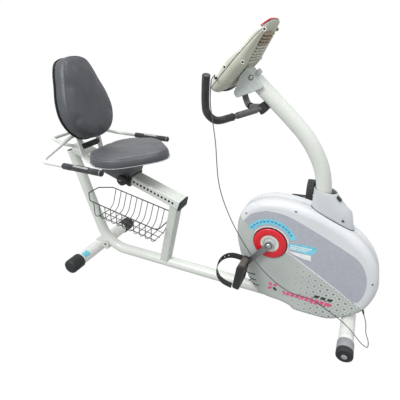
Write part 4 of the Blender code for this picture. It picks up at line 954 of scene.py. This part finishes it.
def build_screws(side, s):
    for k, (x, z) in enumerate(mm((225.9, 508.3), (447.1, 565), (806, 291.1))):
        y = s * (side_y(x, z) - 0.0008)
        lathe("screw_seat_%s_%d" % (side, k + 1), HOUSING_WHITE, "housing",
            mm((4.6, 0), (8.5, 0), (8, 1.6), (5.2, 1.6)), (x, y, z), (0, s, 0), 24)
        lathe("screw_%s_%d" % (side, k + 1), INK, "steel", mm((0, 0), (4.6, 0), (4.4, 0.8), (2.2, 1.3),
            (0, 1.3)), (x, y, z), (0, s, 0), 18)


def housing_top(x):
    best = 0.0
    for a, b in zip(OUTER, OUTER[1:] + OUTER[:1]):
        if min(a[0], b[0]) <= x <= max(a[0], b[0]) and abs(a[0] - b[0]) > 1e-9:
            best = max(best, a[1] + (b[1] - a[1]) * (x - a[0]) / (b[0] - a[0]))
    return best


def build_mast():
    Shape().tube(spline(MAST, 8), 0.032, 48).piece("mast_tube", FRAME, "frame", ["mast"])
    n = 56

    def station(cx, rx, ry, height, lift):
        """A ring of the collar: level but for a slight fall, or on the housing where height is 0."""
        ring = []
        for k in range(n):
            x = cx + rx * cos(2 * pi * k / n)
            z = height - (x - cx) * 0.1 if height else housing_top(x) + lift
            ring.append((x, ry * sin(2 * pi * k / n), z))
        return ring

    outside = mm((596, 95, 47, 0, 0.8), (595.8, 94.8, 47.6, 0, 6), (594, 93, 48, 0, 14),
        (586, 85, 47.6, 586, 0), (574, 73, 46.5, 606, 0), (564, 63, 44.9, 627, 0), (556, 55, 43, 645, 0),
        (551.2, 50.2, 41.2, 658.5, 0), (550, 49, 40.5, 662, 0), (550, 47, 38.5, 663.2, 0))
    inside = mm((550, 46, 37.5, 661, 0), (556, 52, 40, 644, 0), (574, 70, 43.5, 603, 0),
        (594, 90, 45, 0, 11), (595.5, 91.5, 44, 0, 0.8))
    form = Shape().rings([station(*row) for row in outside + inside], closed=True)
    form.piece("mast_collar", SHROUD, "shroud", ["mast_shroud"], sharp=50)
    lip = []
    for k in range(n):
        a = 2 * pi * k / n
        x = 0.596 + 0.0955 * cos(a)
        lip.append(Vector((x, 0.0478 * sin(a), housing_top(x) + 0.0012)))
    Shape().sweep(lip, circle(0.0014, 8), closed=True).piece("collar_shadow_line", INK, "black")
    for side, s in SIDES:
        lathe("collar_screw_" + side, INK, "steel", mm((0, 0), (5.2, 0), (5.2, 1.6), (2.8, 2.4), (0, 2.4)),
            (0.64, s * 0.0435, 0.553), (0.1, s, 0.05), 20)
    form = Shape().prism(rounded_rect(0.008, 0.026, 0.0035, 4), -0.009, 0.009,
        placed((0.6085, -0.018, 0.641), radians(-48)))
    form.piece("collar_slot", BLACK, "black")


# ---------------------------------------------------------------- cranks and pedals
def build_cranks():
    cx, cz = CRANK
    for side, s in SIDES:
        hub = (cx, s * 0.07, cz)
        red = mm((44, 3), (44, 8.6), (45.2, 10), (48, 10.8), (56, 11), (68, 10.4), (73.5, 9.2),
            (76.8, 7.2), (78, 5), (77.5, 3), (75.5, 1.2), (70, 0.6), (48, 0.6))
        lathe("disc_ring_" + side, RED, "red", list(reversed(red)), hub, (0, s, 0), 96,
            ["crank_disc_" + side], "crank")
        pale = mm((30, 4), (30, 7.2), (31, 8.2), (36, 9), (42.5, 9), (43.7, 8), (43.7, 4))
        lathe("disc_liner_" + side, RING, "red", pale, hub, (0, s, 0), 80, body="crank")
        dish = mm((9.4, 2.2), (29.9, 2.2), (29.9, 6), (27.5, 4.8), (18, 5.2), (15, 7.6), (9.4, 7.8))
        lathe("disc_dish_" + side, SHROUD, "red", dish, hub, (0, s, 0), 64, body="crank")
        a = radians(CRANK_DEG if s < 0 else CRANK_DEG + 180.0)
        px, pz = cx + CRANK_R * cos(a), cz + CRANK_R * sin(a)
        d = Vector((cos(a), sin(a)))
        n = Vector((-d.y, d.x))
        near, far = Vector((cx, cz)), Vector((px, pz))

        def outline(r0, r1):
            pts = [near - d * r0 * sin(t) + n * r0 * cos(t) for t in (pi * k / 14 for k in range(15))]
            pts += [near.lerp(far, k / 6) - n * (r0 + (r1 - r0) * (0.35 + 0.65 * k / 6))
                for k in range(1, 6)]
            pts += [far + d * r1 * sin(t) - n * r1 * cos(t) for t in (pi * k / 14 for k in range(15))]
            pts += [near.lerp(far, k / 6) + n * (r0 + (r1 - r0) * (0.35 + 0.65 * k / 6))
                for k in range(5, 0, -1)]
            return pts

        form = Shape().prism(outline(0.0165, 0.012), s * 0.0882, s * 0.1004)
        obj = form.piece("crank_%s" % side, ARM_STEEL, "steel", ["crank_arm_" + side], "crank", sharp=30)
        groove = Shape()
        q0, q1 = near.lerp(far, 0.2), near.lerp(far, 0.84)
        ends = [q0 + n * 0.0055, q1 + n * 0.0042, q1 - n * 0.0042, q0 - n * 0.0055]
        groove.prism(ends, s * 0.0994, s * 0.103)
        cut(obj, groove.cutter("groove_cutter_" + side))
        round_edges(obj, 0.0022, 3, 40)
        lathe("spindle_" + side, STEEL, "steel", mm((0, 95), (7.8, 95), (7.8, 104), (10, 104.4),
            (10, 108.8), (7.8, 109.4), (5.8, 112), (5.8, 213.8), (0, 213.8)), (px, 0, pz), (0, s, 0), 24,
            body="crank")
        lathe("crank_dome_" + side, STEEL, "steel", mm((0, 99), (13.2, 99), (13.8, 101), (13.2, 103.6),
            (11.4, 106.2), (9, 108), (4, 108.8), (0, 108.9)), (cx, 0, cz), (0, s, 0), 32, body="crank")
        lathe("crank_washer_" + side, INK, "steel", mm((13.4, 100.4), (15.8, 100.4), (15.2, 102.4),
            (13.4, 102.8)), (cx, 0, cz), (0, s, 0), 32, body="crank")
        build_pedal(side, s, px, pz)


def build_pedal(side, s, px, pz):
    """Two side plates, treads and a sleeve round the spindle, with a pierced strap."""
    body = "pedal_" + side
    turn = placed((px, s * PEDAL_MID, pz), radians(-82.0 if s < 0 else -4.0))
    plate = mm((-74, -10), (-71.5, -14.8), (-66, -17), (48, -17), (54, -15), (57, -9.5), (57, 9.5),
        (54, 15), (48, 17), (-66, 17), (-71.5, 14.8), (-74, 10))
    cage = Shape()
    for v in (-0.043, 0.043):
        cage.prism(plate, v - 0.0085, v + 0.0085, turn)
    cage.piece("pedal_cage_" + side, BLACK, "black", ["pedal_" + side], body, sharp=40, bevel=0.0022,
        segments=3)
    tread = Shape()
    for u, long, high in ((-0.0625, 0.019, 0.028), (0.048, 0.0145, 0.027), (0.0, 0.033, 0.03)):
        bar = [(u + p[0], p[1]) for p in rounded_rect(long, high, 0.004, 3)]
        tread.prism(bar, -0.036, 0.036, turn)
    for u in (-0.0665, -0.059, -0.011, 0.011, 0.048):
        for k in range(6):
            v = -0.03 + k * 0.012
            for w in (-1, 1):
                tread.block((u, v, w * 0.0145), (0.0048, 0.007, 0.0045), turn)
    tread.piece("pedal_tread_" + side, TREAD_BROWN, "black", body=body, sharp=40, bevel=0.0008)
    run0, run1 = STRAP_ENDS[side]
    arch = []
    for k in range(33):
        t = pi * k / 32
        rise = 0.1 * sin(t) ** 0.7 if 0 < k < 32 else 0.0
        x = run0 + (run1 - run0) * 0.5 * (1.0 - cos(t))
        arch.append(turn @ Vector((x, s * (0.004 - 0.0535 * cos(t)), 0.0185 + rise)))
    wide = turn.to_3x3() @ Vector((1, 0, 0))
    rows = []
    for i, p in enumerate(arch):
        before, after = arch[max(i - 1, 0)], arch[min(i + 1, len(arch) - 1)]
        normal = (after - before).normalized().cross(wide).normalized()
        rows.append([p + wide * u + normal * v for u, v in rounded_rect(0.032, 0.0024, 0.001, 2)])
    obj = Shape().rings(rows).piece("strap_" + side, TREAD, "black", ["pedal_strap_" + side], body)
    pegs = Shape()
    for k in range(6, 27, 3):
        p = arch[k]
        normal = (arch[k + 1] - arch[k - 1]).normalized().cross(wide)
        pegs.turned(mm((0, -4), (3, -4), (3, 4), (0, 4)), p, normal, 14)
    cut(obj, pegs.cutter("strap_hole_cutter_" + side))


# ---------------------------------------------------------------- handlebar
def bar_path(s):
    return mm((245, s * 15, 985), (215, s * 50, 977), (155, s * 125, 962), (118, s * 196, 960),
        (92, s * 228, 990), (86, s * 236, 1030), (98, s * 262, 1100), (105, s * 273, 1134))


def build_bar():
    path = list(reversed(spline(bar_path(-1.0), 8))) + spline(bar_path(1.0), 8)
    Shape().tube(path, BAR_R, 32).piece("bar_tube", BAR_GREY, "frame", ["handlebar"])
    for side, s in SIDES:
        full = spline(bar_path(s), 8)
        grip = full[16:]
        form = Shape().tube(grip, GRIP_R, 32, 0.003)
        form.piece("bar_foam_" + side, FOAM, "foam", ["bar_grip_" + side])
        Shape().tube(full[5:15], 0.0136, 32, 0.002).piece("bar_sleeve_" + side, BAR_GREY, "foam")
        a, b = grip[0], grip[1]
        lathe("bar_collar_" + side, BLACK, "foam", [(BAR_R, -0.004), (GRIP_R + 0.0006, -0.004),
            (GRIP_R + 0.0012, -0.002), (GRIP_R + 0.0006, 0.0), (BAR_R, 0.0)], a, b - a, 32)
        tip, along = grip[-1], (grip[-1] - grip[-2]).normalized()
        lathe("bar_plug_" + side, BLACK, "foam", [(0, -0.002), (GRIP_R - 0.0005, -0.002),
            (GRIP_R + 0.0002, 0.0005), (GRIP_R - 0.0008, 0.003), (GRIP_R - 0.005, 0.0046), (0, 0.005)],
            tip, along, 32)
    turn = placed((0.249, 0, 0.9855), radians(42))
    form = Shape().prism(rounded_rect(0.04, 0.038, 0.008, 4), -0.026, 0.026, turn)
    form.piece("clamp_block", BLACK, "black", ["bar_clamp"], bevel=0.002)
    bolts = Shape()
    down = turn.to_3x3() @ Vector((0, 0, -1))
    for u in (-0.013, 0.013):
        for v in (-0.017, 0.017):
            place = turn @ Vector((u * 0.9, v, -0.0185))
            bolts.turned(mm((0, -1), (5, -1), (5, 3), (4, 4), (0, 4)), place, down, 18)
    bolts.piece("clamp_bolts", STEEL, "steel")


# ---------------------------------------------------------------- console
def console_turn():
    return placed((CONSOLE[0], 0, CONSOLE[1]), CONSOLE_TILT)


def console_ring(depth, wide, tall):
    plan = CONSOLE_HALF + [(-y, u) for y, u in reversed(CONSOLE_HALF)]
    turn = console_turn()
    return [turn @ Vector((depth(p.y), p.x * wide, p.y * tall)) for p in loop_spline(plan, 5)]


def slab(middle, outline, depths):
    """Two rings in the console's plane, for a panel or a slot."""
    turn = console_turn()
    return Shape().rings([[turn @ Vector((d, y, middle + u)) for y, u in outline] for d in depths])


def back_depth(u):
    """The rear shell is full below the middle and thin at the top."""
    return 0.0388 * (1.0 - 0.88 * max(0.0, u / 0.168))


def front_depth(u):
    """The rim in front of the seam dips above the hand rest."""
    levels = mm((-170, 10), (-120, 18), (-30, 26), (0, 24), (30, 15), (60, 18), (100, 24), (140, 20),
        (175, 12))
    for (u0, d0), (u1, d1) in zip(levels, levels[1:]):
        if u <= u1:
            t = (u - u0) / (u1 - u0)
            return d0 + (d1 - d0) * t * t * (3 - 2 * t)
    return levels[-1][1]


def build_console():
    back = [(0.0, 0.985, 0.988), (0.02, 1.0, 1.0), (0.16, 1.0, 1.0), (0.32, 0.993, 0.993),
        (0.5, 0.972, 0.977), (0.68, 0.94, 0.956), (0.83, 0.89, 0.922), (0.94, 0.83, 0.878),
        (1.0, 0.77, 0.835), (1.005, 0.6, 0.7)]
    form = Shape().rings([console_ring(lambda u, part=part: back_depth(u) * part - 0.0006, wide, tall)
        for part, wide, tall in back])
    form.piece("console_rear_shell", CONSOLE_BACK, "console", ["console_back"], sharp=60)
    front = [(0.0, 0.985, 0.988), (0.06, 1.0, 1.0), (0.5, 1.0, 1.0), (0.76, 0.998, 0.999),
        (0.9, 0.988, 0.992), (0.97, 0.968, 0.978), (1.0, 0.94, 0.96)]
    rows = [console_ring(lambda u, part=part: -0.0024 - (front_depth(u) - 0.0024) * part, wide, tall)
        for part, wide, tall in front]
    rows += [console_ring(lambda u: -0.029, 0.76, 0.83), console_ring(lambda u: -0.03, 0.72, 0.8),
        console_ring(lambda u: -0.03, 0.64, 0.72)]
    form = Shape().rings(rows)
    face = form.piece("console_front_shell", CONSOLE_SKIN, "console", ["console_front"], sharp=60)
    turn = console_turn()
    out = turn.to_3x3() @ Vector((1, 0, 0))
    pocket = slab(0.05, rounded_rect(0.132, 0.092, 0.008, 4), (-0.037, -0.025))
    cut(face, pocket.cutter("pocket_cutter"))
    lens = slab(0.05, rounded_rect(0.131, 0.091, 0.0076, 4), (-0.0293, -0.0253))
    lens.piece("display_window", LENS, "lens", ["display_lens"], bevel=0.0006)
    wells = Shape()
    for y in (-0.034, 0.034):
        place = turn @ Vector((0, y, -0.05))
        wells.turned(mm((0, -37), (13.5, -37), (13.5, -22), (0, -22)), place, out, 32)
    cut(face, wells.cutter("key_well_cutter"))
    for k, y in enumerate((-0.034, 0.034)):
        lathe("key_%d" % (k + 1), RED if k else BLACK, "red" if k else "black",
            mm((0, -32.5), (7, -32.3), (10.5, -31.8), (12.2, -30.8), (12.8, -29.4), (12.8, -26), (0, -26)),
            turn @ Vector((0, y, -0.05)), out, 32, ["button_%d" % (k + 1)], "button_%d" % (k + 1))
    build_console_trim(turn)


def build_console_trim(turn):
    inverse = turn.inverted()
    for side, s in SIDES:
        for k, (d, y, u) in enumerate(mm((6, 95.5, 134), (29, 121.5, 6), (-10, 128.3, -55))):
            seat = turn @ Vector((d, s * y, u))
            out = turn.to_3x3() @ Vector((max(0.0, d) * 14, s, u * 2.2))
            lathe("console_screw_%s_%d" % (side, k + 1), INK, "steel", mm((0, -3), (4.6, -3), (4.6, 0.4),
                (2.2, 1.2), (0, 1.2)), seat, out, 18)
            lathe("console_screw_cup_%s_%d" % (side, k + 1), CONSOLE_SKIN, "console",
                mm((4.7, -3), (7.8, -3), (7.8, 0.6), (6.6, 1.4), (4.7, 0.4)), seat, out, 22)
    seam = console_ring(lambda u: -0.0015, 0.996, 0.996)
    Shape().sweep(seam, circle(0.0009, 8), closed=True).piece("console_seam", CARRIAGE, "black")
    for name, finish, first, last in (("upper", CONSOLE_WARM, 0, 4), ("lower", CONSOLE_BACK, 4, 10)):
        vent = Shape()
        out = turn.to_3x3() @ Vector((1, 0, 0))
        for k in range(first, last):
            u = 0.118 - k * 0.0125
            wide = 0.14 - k * 0.002
            d = back_depth(u)
            row = [turn @ Vector((d, y, u + v)) for y, v in rounded_rect(wide, 0.007, 0.003, 3)]
            vent.rings([[p + out * w for p in row] for w in (-0.008, 0.0018)])
        vent.piece("console_vent_" + name, finish, "console", bevel=0.0006)
    for name, finish, share, radius in (("trim", RED, 0.62, 0.0028), ("trim_line", INK, 0.3, 0.0013)):
        ring = console_ring(lambda u: -0.0024 - (front_depth(u) - 0.0024) * share, 1.002, 1.002)
        top = [p for p in ring if (inverse @ p).z > 0.128]
        top.sort(key=lambda p: p.y)
        Shape().tube(top, radius, 12, 0.001).piece("console_" + name, finish, "red")
    chin = [turn @ Vector((0.033 - 0.006 * (y / 0.085) ** 2, y, -0.142 + 0.006 * (y / 0.085) ** 2))
        for y in (-0.085 + 0.17 * k / 12 for k in range(13))]
    Shape().sweep(chin, rounded_rect(0.022, 0.016, 0.005, 3)).piece("console_chin", BLACK, "black")


def build_cover():
    form = Shape().prism(COVER, -0.047, 0.047)
    form.piece("neck_cover", COVER_SKIN, "cover", ["console_cover"], sharp=35, bevel=0.004, segments=4)
    for side, s in SIDES:
        seat = (0.2, s * 0.047, 1.108)
        lathe("cover_bolt_" + side, STEEL, "steel", mm((0, -1), (8.5, -1), (8.5, 1.4), (6, 3), (0, 3.4)),
            seat, (0, s, 0), 24)
        lathe("cover_bolt_seat_" + side, INK, "steel", mm((8.6, -1), (11, -1), (10.6, 1.2), (8.6, 1.4)),
            seat, (0, s, 0), 24)
        lathe("cover_dome_" + side, COVER_SKIN, "cover", mm((0, -1), (7.6, -1), (7, 2.4), (4.6, 4.6),
            (0, 5.4)), (0.143, s * 0.0466, 1.045), (0, s, 0), 24)
    lathe("cover_knob", SHROUD, "cover", mm((0, -6), (9.5, -6), (10.5, 2), (10.5, 10), (8.5, 13.5),
        (0, 14)), (0.222, -0.02, 1.126), (0.7, -0.1, 0.7), 28)


# ---------------------------------------------------------------- seat
def plan_ring(plan, turn, height, amount, steps=6):
    base = [(p.x, p.y) for p in loop_spline(mirrored(plan), steps)]
    return [turn @ Vector((p[0], p[1], height)) for p in (inset(base, amount) if amount else base)]


def pillow(name, plan, turn, levels):
    """A closed cushion form from a plan outline, as a plain object for the cloth step."""
    return add(name, Shape().rings([plan_ring(plan, turn, *level, steps=4) for level in levels]).mesh(name))


def evaluated(obj):
    graph = bpy.context.evaluated_depsgraph_get()
    return bpy.data.meshes.new_from_object(obj.evaluated_get(graph))


def remeshed(obj):
    mod = obj.modifiers.new("voxels", "REMESH")
    mod.mode = "VOXEL"
    mod.voxel_size = CUSHION_VOXEL
    mod.adaptivity = 0.0
    mesh = evaluated(obj)
    obj.modifiers.clear()
    obj.data = mesh


def puff(obj, pinned, cap):
    """Fill the cushion by cloth pressure; the pinned points stay, and none moves more than cap."""
    group = obj.vertex_groups.new(name="held")
    rest = [v.co.copy() for v in obj.data.vertices]
    group.add([i for i, p in enumerate(rest) if pinned(p)], 1.0, "REPLACE")
    mod = obj.modifiers.new("cloth", "CLOTH")
    cloth = mod.settings
    cloth.quality = 5
    cloth.mass = 0.25
    cloth.tension_stiffness = cloth.compression_stiffness = 12
    cloth.bending_stiffness = 8.0
    cloth.use_pressure = True
    cloth.uniform_pressure_force = 2.0
    cloth.effector_weights.gravity = 0.0
    cloth.vertex_group_mass = "held"
    mod.point_cache.frame_start = 1
    mod.point_cache.frame_end = PUFF_FRAMES
    for k in range(1, PUFF_FRAMES + 1):
        bpy.context.scene.frame_set(k)
    mesh = evaluated(obj)
    obj.modifiers.clear()
    for v, p in zip(mesh.vertices, rest):
        move = v.co - p
        if move.length > cap:
            v.co = p + move * (cap / move.length)
    obj.data = mesh
    bpy.context.scene.frame_set(1)


def finish_cushion(obj, node, shape_points, finish):
    mesh = obj.data
    for v in mesh.vertices:
        v.co = shape_points(v.co.copy())
    mesh.materials.clear()
    mesh.materials.append(finish)
    mesh.shade_smooth()
    smooth = obj.modifiers.new("relax", "SMOOTH")
    smooth.factor = 0.5
    smooth.iterations = 16
    mod = obj.modifiers.new("fine", "SUBSURF")
    mod.levels = mod.render_levels = 1
    settle(obj, [node], "seat")


def welt(name, pad, ring, radius, finish):
    """A sewn edge cord that lies on the cushion's skin."""
    skin = pad.evaluated_get(bpy.context.evaluated_depsgraph_get())
    inverse = skin.matrix_world.inverted()
    path = []
    for p in ring:
        _, place, normal, _ = skin.closest_point_on_mesh(inverse @ (p + SHIFT))
        path.append(skin.matrix_world @ (place + normal * radius * 0.2) - SHIFT)
    Shape().sweep(path, circle(radius, 8), closed=True).piece(name, finish, "vinyl", body="seat")


def seat_turn():
    return placed((SEAT_MID[0], 0, SEAT_MID[1]), SEAT_TILT) @ placed((-SEAT_MID[0], 0, 0), 0.0)


def back_turn():
    axes = Matrix(((0, 0, 1, 0), (0, 1, 0, 0), (1, 0, 0, 0), (0, 0, 0, 1)))
    return placed((BACK_MID[0], 0, BACK_MID[1]), BACK_LEAN) @ axes


def build_seat():
    turn = seat_turn()
    levels = mm((-39.6, 12), (-38.8, 6), (-35, 2), (-20, 1), (0, 2), (10, 8), (17, 17), (21.5, 32),
        (24, 56), (25, 83))
    seat = pillow("seat_pad", SEAT, turn, levels)
    inverse = turn.inverted()
    remeshed(seat)
    puff(seat, lambda p: (inverse @ (p - SHIFT)).z < -0.03, 0.006)

    def crease(p):
        """A shallow saddle dip, and a sewn fold across the nose."""
        q = inverse @ (p - SHIFT)
        if q.z > 0:
            x, y = q.x, q.y
            q.z -= 0.005 * exp(-((y / 0.055) ** 2)) * exp(-(((x + 0.5) / 0.1) ** 2))
            fold = x + 0.298 - 0.9 * y * y
            q.z -= 0.0045 * exp(-((fold / 0.0055) ** 2)) * max(0.0, 1 - abs(y) / 0.095)
        return turn @ q + SHIFT

    # The seat and its welt wear the lighter copy of the vinyl: painted light.
    finish_cushion(seat, "seat_cushion", crease, SEAT_VINYL_LIT)
    welt("seat_welt", seat, plan_ring(SEAT, turn, 0.012, 0.008), 0.0016, SEAT_VINYL_LIT)
    pipe = plan_ring(SEAT, turn, -0.033, -0.0004)
    form = Shape().sweep(pipe, circle(0.0022, 10), closed=True)
    form.piece("seat_piping", PIPING, "vinyl", body="seat")
    pan = [plan_ring(PAN, turn, h, a) for h, a in ((-0.052, 0.01), (-0.0512, 0.004), (-0.049, 0.001),
        (-0.048, 0.0), (-0.0404, 0.0))]
    Shape().rings(pan).piece("seat_board", UNDER, "board", ["seat_pan"], "seat", sharp=50)
    build_backrest()


def build_backrest():
    turn = back_turn()
    levels = mm((-49.6, 12), (-48.8, 6), (-44, 2), (-30, 1), (0, 1), (13, 2), (22.5, 7), (29, 17),
        (32.5, 34), (34, 72))
    pad = pillow("back_pad", BACK, turn, levels)
    inverse = turn.inverted()
    remeshed(pad)
    puff(pad, lambda p: (inverse @ (p - SHIFT)).z < -0.006, 0.005)

    def dish(p):
        q = inverse @ (p - SHIFT)
        if q.z > 0:
            q.z -= 0.0045 * exp(-((q.y / 0.1) ** 2)) * exp(-(((q.x + 0.04) / 0.14) ** 2))
        return turn @ q + SHIFT

    finish_cushion(pad, "back_cushion", dish, BACK_VINYL)
    welt("back_welt", pad, plan_ring(BACK, turn, 0.022, 0.008), 0.0018, BACK_VINYL)
    pipe = plan_ring(BACK, turn, -0.05, 0.0006)
    Shape().sweep(pipe, circle(0.002, 10), closed=True).piece("back_piping", BLACK, "vinyl", body="seat")
    board = [plan_ring(BACK, turn, h, a) for h, a in ((-0.064, 0.014), (-0.0628, 0.007), (-0.059, 0.004),
        (-0.051, 0.002), (-0.0505, 0.003))]
    Shape().rings(board).piece("back_shell", VINYL_DARK, "board", ["back_board"], "seat", sharp=50)


def build_carriage():
    x0, x1 = -0.625, -0.425
    mid = Vector(((x0 + x1) / 2, 0, rail_point((x0 + x1) / 2)))
    slope = placed(mid, RAIL_SLOPE)
    outline = mm((-95, -33), (92, -33), (94, 30), (98, 150), (-95, 110))
    form = Shape().prism(outline, -0.0512, 0.0512, slope)
    body = form.piece("carriage_body", CARRIAGE, "carriage", ["seat_carriage"], "seat")
    h, w = RAIL_HALF + 0.0006, RAIL_WIDE + 0.0006
    bore = Shape().prism([(-0.4, -h), (0.4, -h), (0.4, h), (-0.4, h)], -w, w, slope)
    cut(body, bore.cutter("carriage_bore_cutter"))
    turn = seat_turn()
    plan = [(p.x * 1.15 + 0.06, p.y * 1.3) for p in loop_spline(mirrored(SEAT), 2)]
    above = [[turn @ Vector((x, y, z)) for x, y in plan] for z in (-0.0524, 0.2)]
    cut(body, Shape().rings(above).cutter("carriage_top_cutter"))
    round_edges(body, 0.0024, 2, 40)
    ends = [slope @ Vector((x, 0, -0.0005)) for x in (0.076, 0.0955)]
    collar = Shape().sweep(ends, rounded_rect(0.1056, 0.0695, 0.006, 3))
    obj = collar.piece("carriage_bush", BLACK, "black", body="seat")
    cut(obj, bore.cutter("bush_bore_cutter"))
    knob_x = -0.47
    centre = (knob_x, 0, rail_point(knob_x))
    pin = mm((0, 42.5), (3.6, 43), (4.2, 44), (4.2, 52), (11, 52.4), (11, 64), (23.5, 65.2), (26.5, 67.2),
        (27.6, 70.5), (27.6, 85), (26.2, 88.4), (22.4, 90.4), (15, 89.8), (10, 91.2), (0, 91.5))
    knob = Shape().turned(pin, centre, (0, -1, 0), 48)
    for k in range(20):
        a = 2 * pi * k / 20
        knob.turned(mm((0, 68), (1.5, 68.4), (1.8, 72), (1.8, 84), (1.4, 87.2), (0, 87.6)),
            (centre[0] + 0.027 * cos(a), 0, centre[2] + 0.027 * sin(a)), (0, -1, 0), 8)
    knob.piece("pull_knob", BLACK, "black", ["pull_pin"], "pin")
    outline = rounded_rect(0.012, 0.0036, 0.0012, 2)
    mark = [(x + centre[0] - 0.004, z + centre[2] + 0.003) for x, z in outline]
    Shape().prism(mark, -0.092, -0.0905).piece("knob_mark", RING, "black", body="pin")


def build_back_frame():
    turn, lean = seat_turn(), back_turn()
    low = turn @ Vector((-0.455, BACK_BAR, -0.0572))
    corner = turn @ Vector((-0.715, BACK_BAR, -0.0572))
    top = lean @ Vector((0.06, BACK_BAR, -0.0692))
    knee = lean @ Vector((-0.205, BACK_BAR, -0.0692))
    path = fillet([low, corner, knee, top], [0, 0.05, 0.06, 0], 10)
    for side, s in SIDES:
        bar = Shape().sweep([(p.x, s * p.y, p.z) for p in path], rounded_rect(0.036, 0.008, 0.0026, 3))
        nodes = ["back_frame"] if s < 0 else []
        bar.piece("back_bar_" + side, FRAME, "frame", nodes, "seat")
    spot = knee + (corner - knee) * 0.3
    form = Shape().block((0, 0, 0), (0.012, 0.14, 0.032), placed((spot.x, 0, spot.z), 0.0))
    form.piece("back_cross_bar", BLACK, "frame", body="seat", bevel=0.003, segments=3)
    handle = fillet([(spot.x, HANDLE_Y - 0.065, spot.z - 0.004), (-0.79, HANDLE_Y, 0.73),
        (-0.862, HANDLE_Y, 0.752), (-0.862, 0.0, 0.752)], [0, 0.03, 0.016, 0], 8)
    loop = list(handle) + [Vector((p.x, -p.y, p.z)) for p in reversed(handle[:-1])]
    Shape().tube(loop, 0.0085, 24).piece("rear_handle", FRAME, "frame", body="seat")
    bolts = Shape()
    for y in (-BACK_BAR, BACK_BAR):
        for u in (0.03, -0.03):
            p = lean @ Vector((u, y, -0.0735))
            bolts.turned(mm((0, -1), (8, -1), (8, 1.5), (5.5, 3.6), (0, 4)), p,
                lean.to_3x3() @ Vector((0, 0, -1)), 20)
    bolts.piece("back_bolts", STEEL, "steel", body="seat")
    build_arms(knee.x - 0.0258)


def build_arms(xr):
    half = [(-0.402, ARM_Y, 0.689), (-0.778, ARM_Y, 0.689), (xr, 0.104, 0.767), (xr, 0.0, 0.767)]
    side = fillet(half, [0, 0.034, 0.05, 0], 12)
    path = list(side) + [Vector((p.x, -p.y, p.z)) for p in reversed(side[:-1])]
    Shape().tube(path, ARM_R, 32, 0.002).piece("arm_tube", FRAME, "frame", ["armrest_tube"], "seat")
    r = GRIP_R + 0.0005
    for name, s in SIDES:
        a, b = Vector((-0.632, s * ARM_Y, 0.689)), Vector((-0.4025, s * ARM_Y, 0.689))
        reach = (b - a).length
        swell = [(0.0, 0.0), (0.0, 0.0112), (0.002, r - 0.001), (0.006, r), (0.052, r), (0.06, r - 0.0012),
            (0.068, r - 0.0004), (0.16, r - 0.0004), (0.168, r - 0.0012), (0.176, r), (reach - 0.006, r),
            (reach - 0.001, r - 0.0012), (reach, 0.0112), (reach, 0.0)]
        lathe("arm_foam_" + name, FOAM, "foam", [(radius, x) for x, radius in swell], a, (1, 0, 0), 40,
            ["arm_grip_" + name], "seat")
        rows = []
        for x in (0.07, 0.074, 0.154, 0.158):
            drop = 0.0005 if x in (0.07, 0.158) else 0.0
            outer, inner = [], []
            for j in range(13):
                t = radians(-48 + 96 * j / 12)
                lift = r + 0.0012 - drop
                outer.append(a + Vector((x, lift * sin(t), lift * cos(t))))
                inner.append(a + Vector((x, (r - 0.001) * sin(t), (r - 0.001) * cos(t))))
            rows.append(outer + list(reversed(inner)))
        Shape().rings(rows).piece("arm_plate_" + name, PLATE, "steel", body="seat")
        lathe("arm_ring_" + name, PIPING, "foam", [(r - 0.0012, 0), (r + 0.0004, 0), (r + 0.0008, 0.0012),
            (r + 0.0004, 0.0026), (r - 0.0012, 0.0026)], b - Vector((0.0046, 0, 0)), (1, 0, 0), 36,
            body="seat")
        lathe("arm_plug_" + name, BLACK, "foam", [(0, -0.0005), (r - 0.001, -0.0005), (r - 0.0002, 0.0014),
            (r - 0.0012, 0.0032), (r - 0.006, 0.0042), (0, 0.0044)], b, (1, 0, 0), 32, body="seat")


# ---------------------------------------------------------------- basket
def build_basket():
    slope = radians(11.0)
    x0, x1, top = -0.752, -0.249, 0.412
    half, deep, thin, thick = 0.104, 0.126, 0.0023, 0.0033

    def rim(x, y, drop=0.0):
        z = top - (x - x0) * tan(slope)
        return Vector((x - drop * sin(slope), y, z - drop * cos(slope)))

    corners = [rim(-0.5, half), rim(x1, half), rim(x1, -half), rim(x0 + 0.06, -half), rim(x0, -0.044),
        rim(x0, 0.044), rim(x0 + 0.06, half), rim(-0.5, half)]
    loop = fillet(corners, [0, 0.03, 0.03, 0.03, 0.02, 0.02, 0.03, 0], 8)
    wires = Shape().sweep(loop[:-1], circle(thick, 12), closed=True)
    for k in range(11):
        x = x0 + 0.085 + k * 0.038
        path = fillet([rim(x, half, -0.001), rim(x, half - 0.022, deep), rim(x, -half + 0.022, deep),
            rim(x, -half, -0.001)], [0, 0.055, 0.055, 0], 10)
        wires.tube(path, thin, 10)
    for y in (-0.046, 0.0, 0.046):
        drop = deep - abs(y) * 0.074
        wires.tube([rim(x0 + 0.078, y, drop), rim(x1 - 0.03, y, drop)], thin, 10)
    wires.piece("basket_wires", WIRE, "wire", ["basket"])


build_view()
build_lead()
build_studio()
build_frame()
build_housing()
build_mast()
build_cranks()
build_bar()
build_console()
build_cover()
build_seat()
build_carriage()
build_back_frame()
build_basket()

INSIDE = {"bottom_bracket": FRAME, "bearing_right": STEEL, "bearing_left": STEEL,
    "drive_plate_right": FRAME, "drive_plate_left": FRAME, "brake_magnet": STEEL, "flywheel_axle": STEEL,
    "belt": BELT, "crank_axle": STEEL, "drive_pulley": BLACK, "flywheel": IRON, "idler_wheel": BLACK}
for node, finish in INSIDE.items():
    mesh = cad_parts[node].data
    mesh.materials.clear()
    mesh.materials.append(finish)
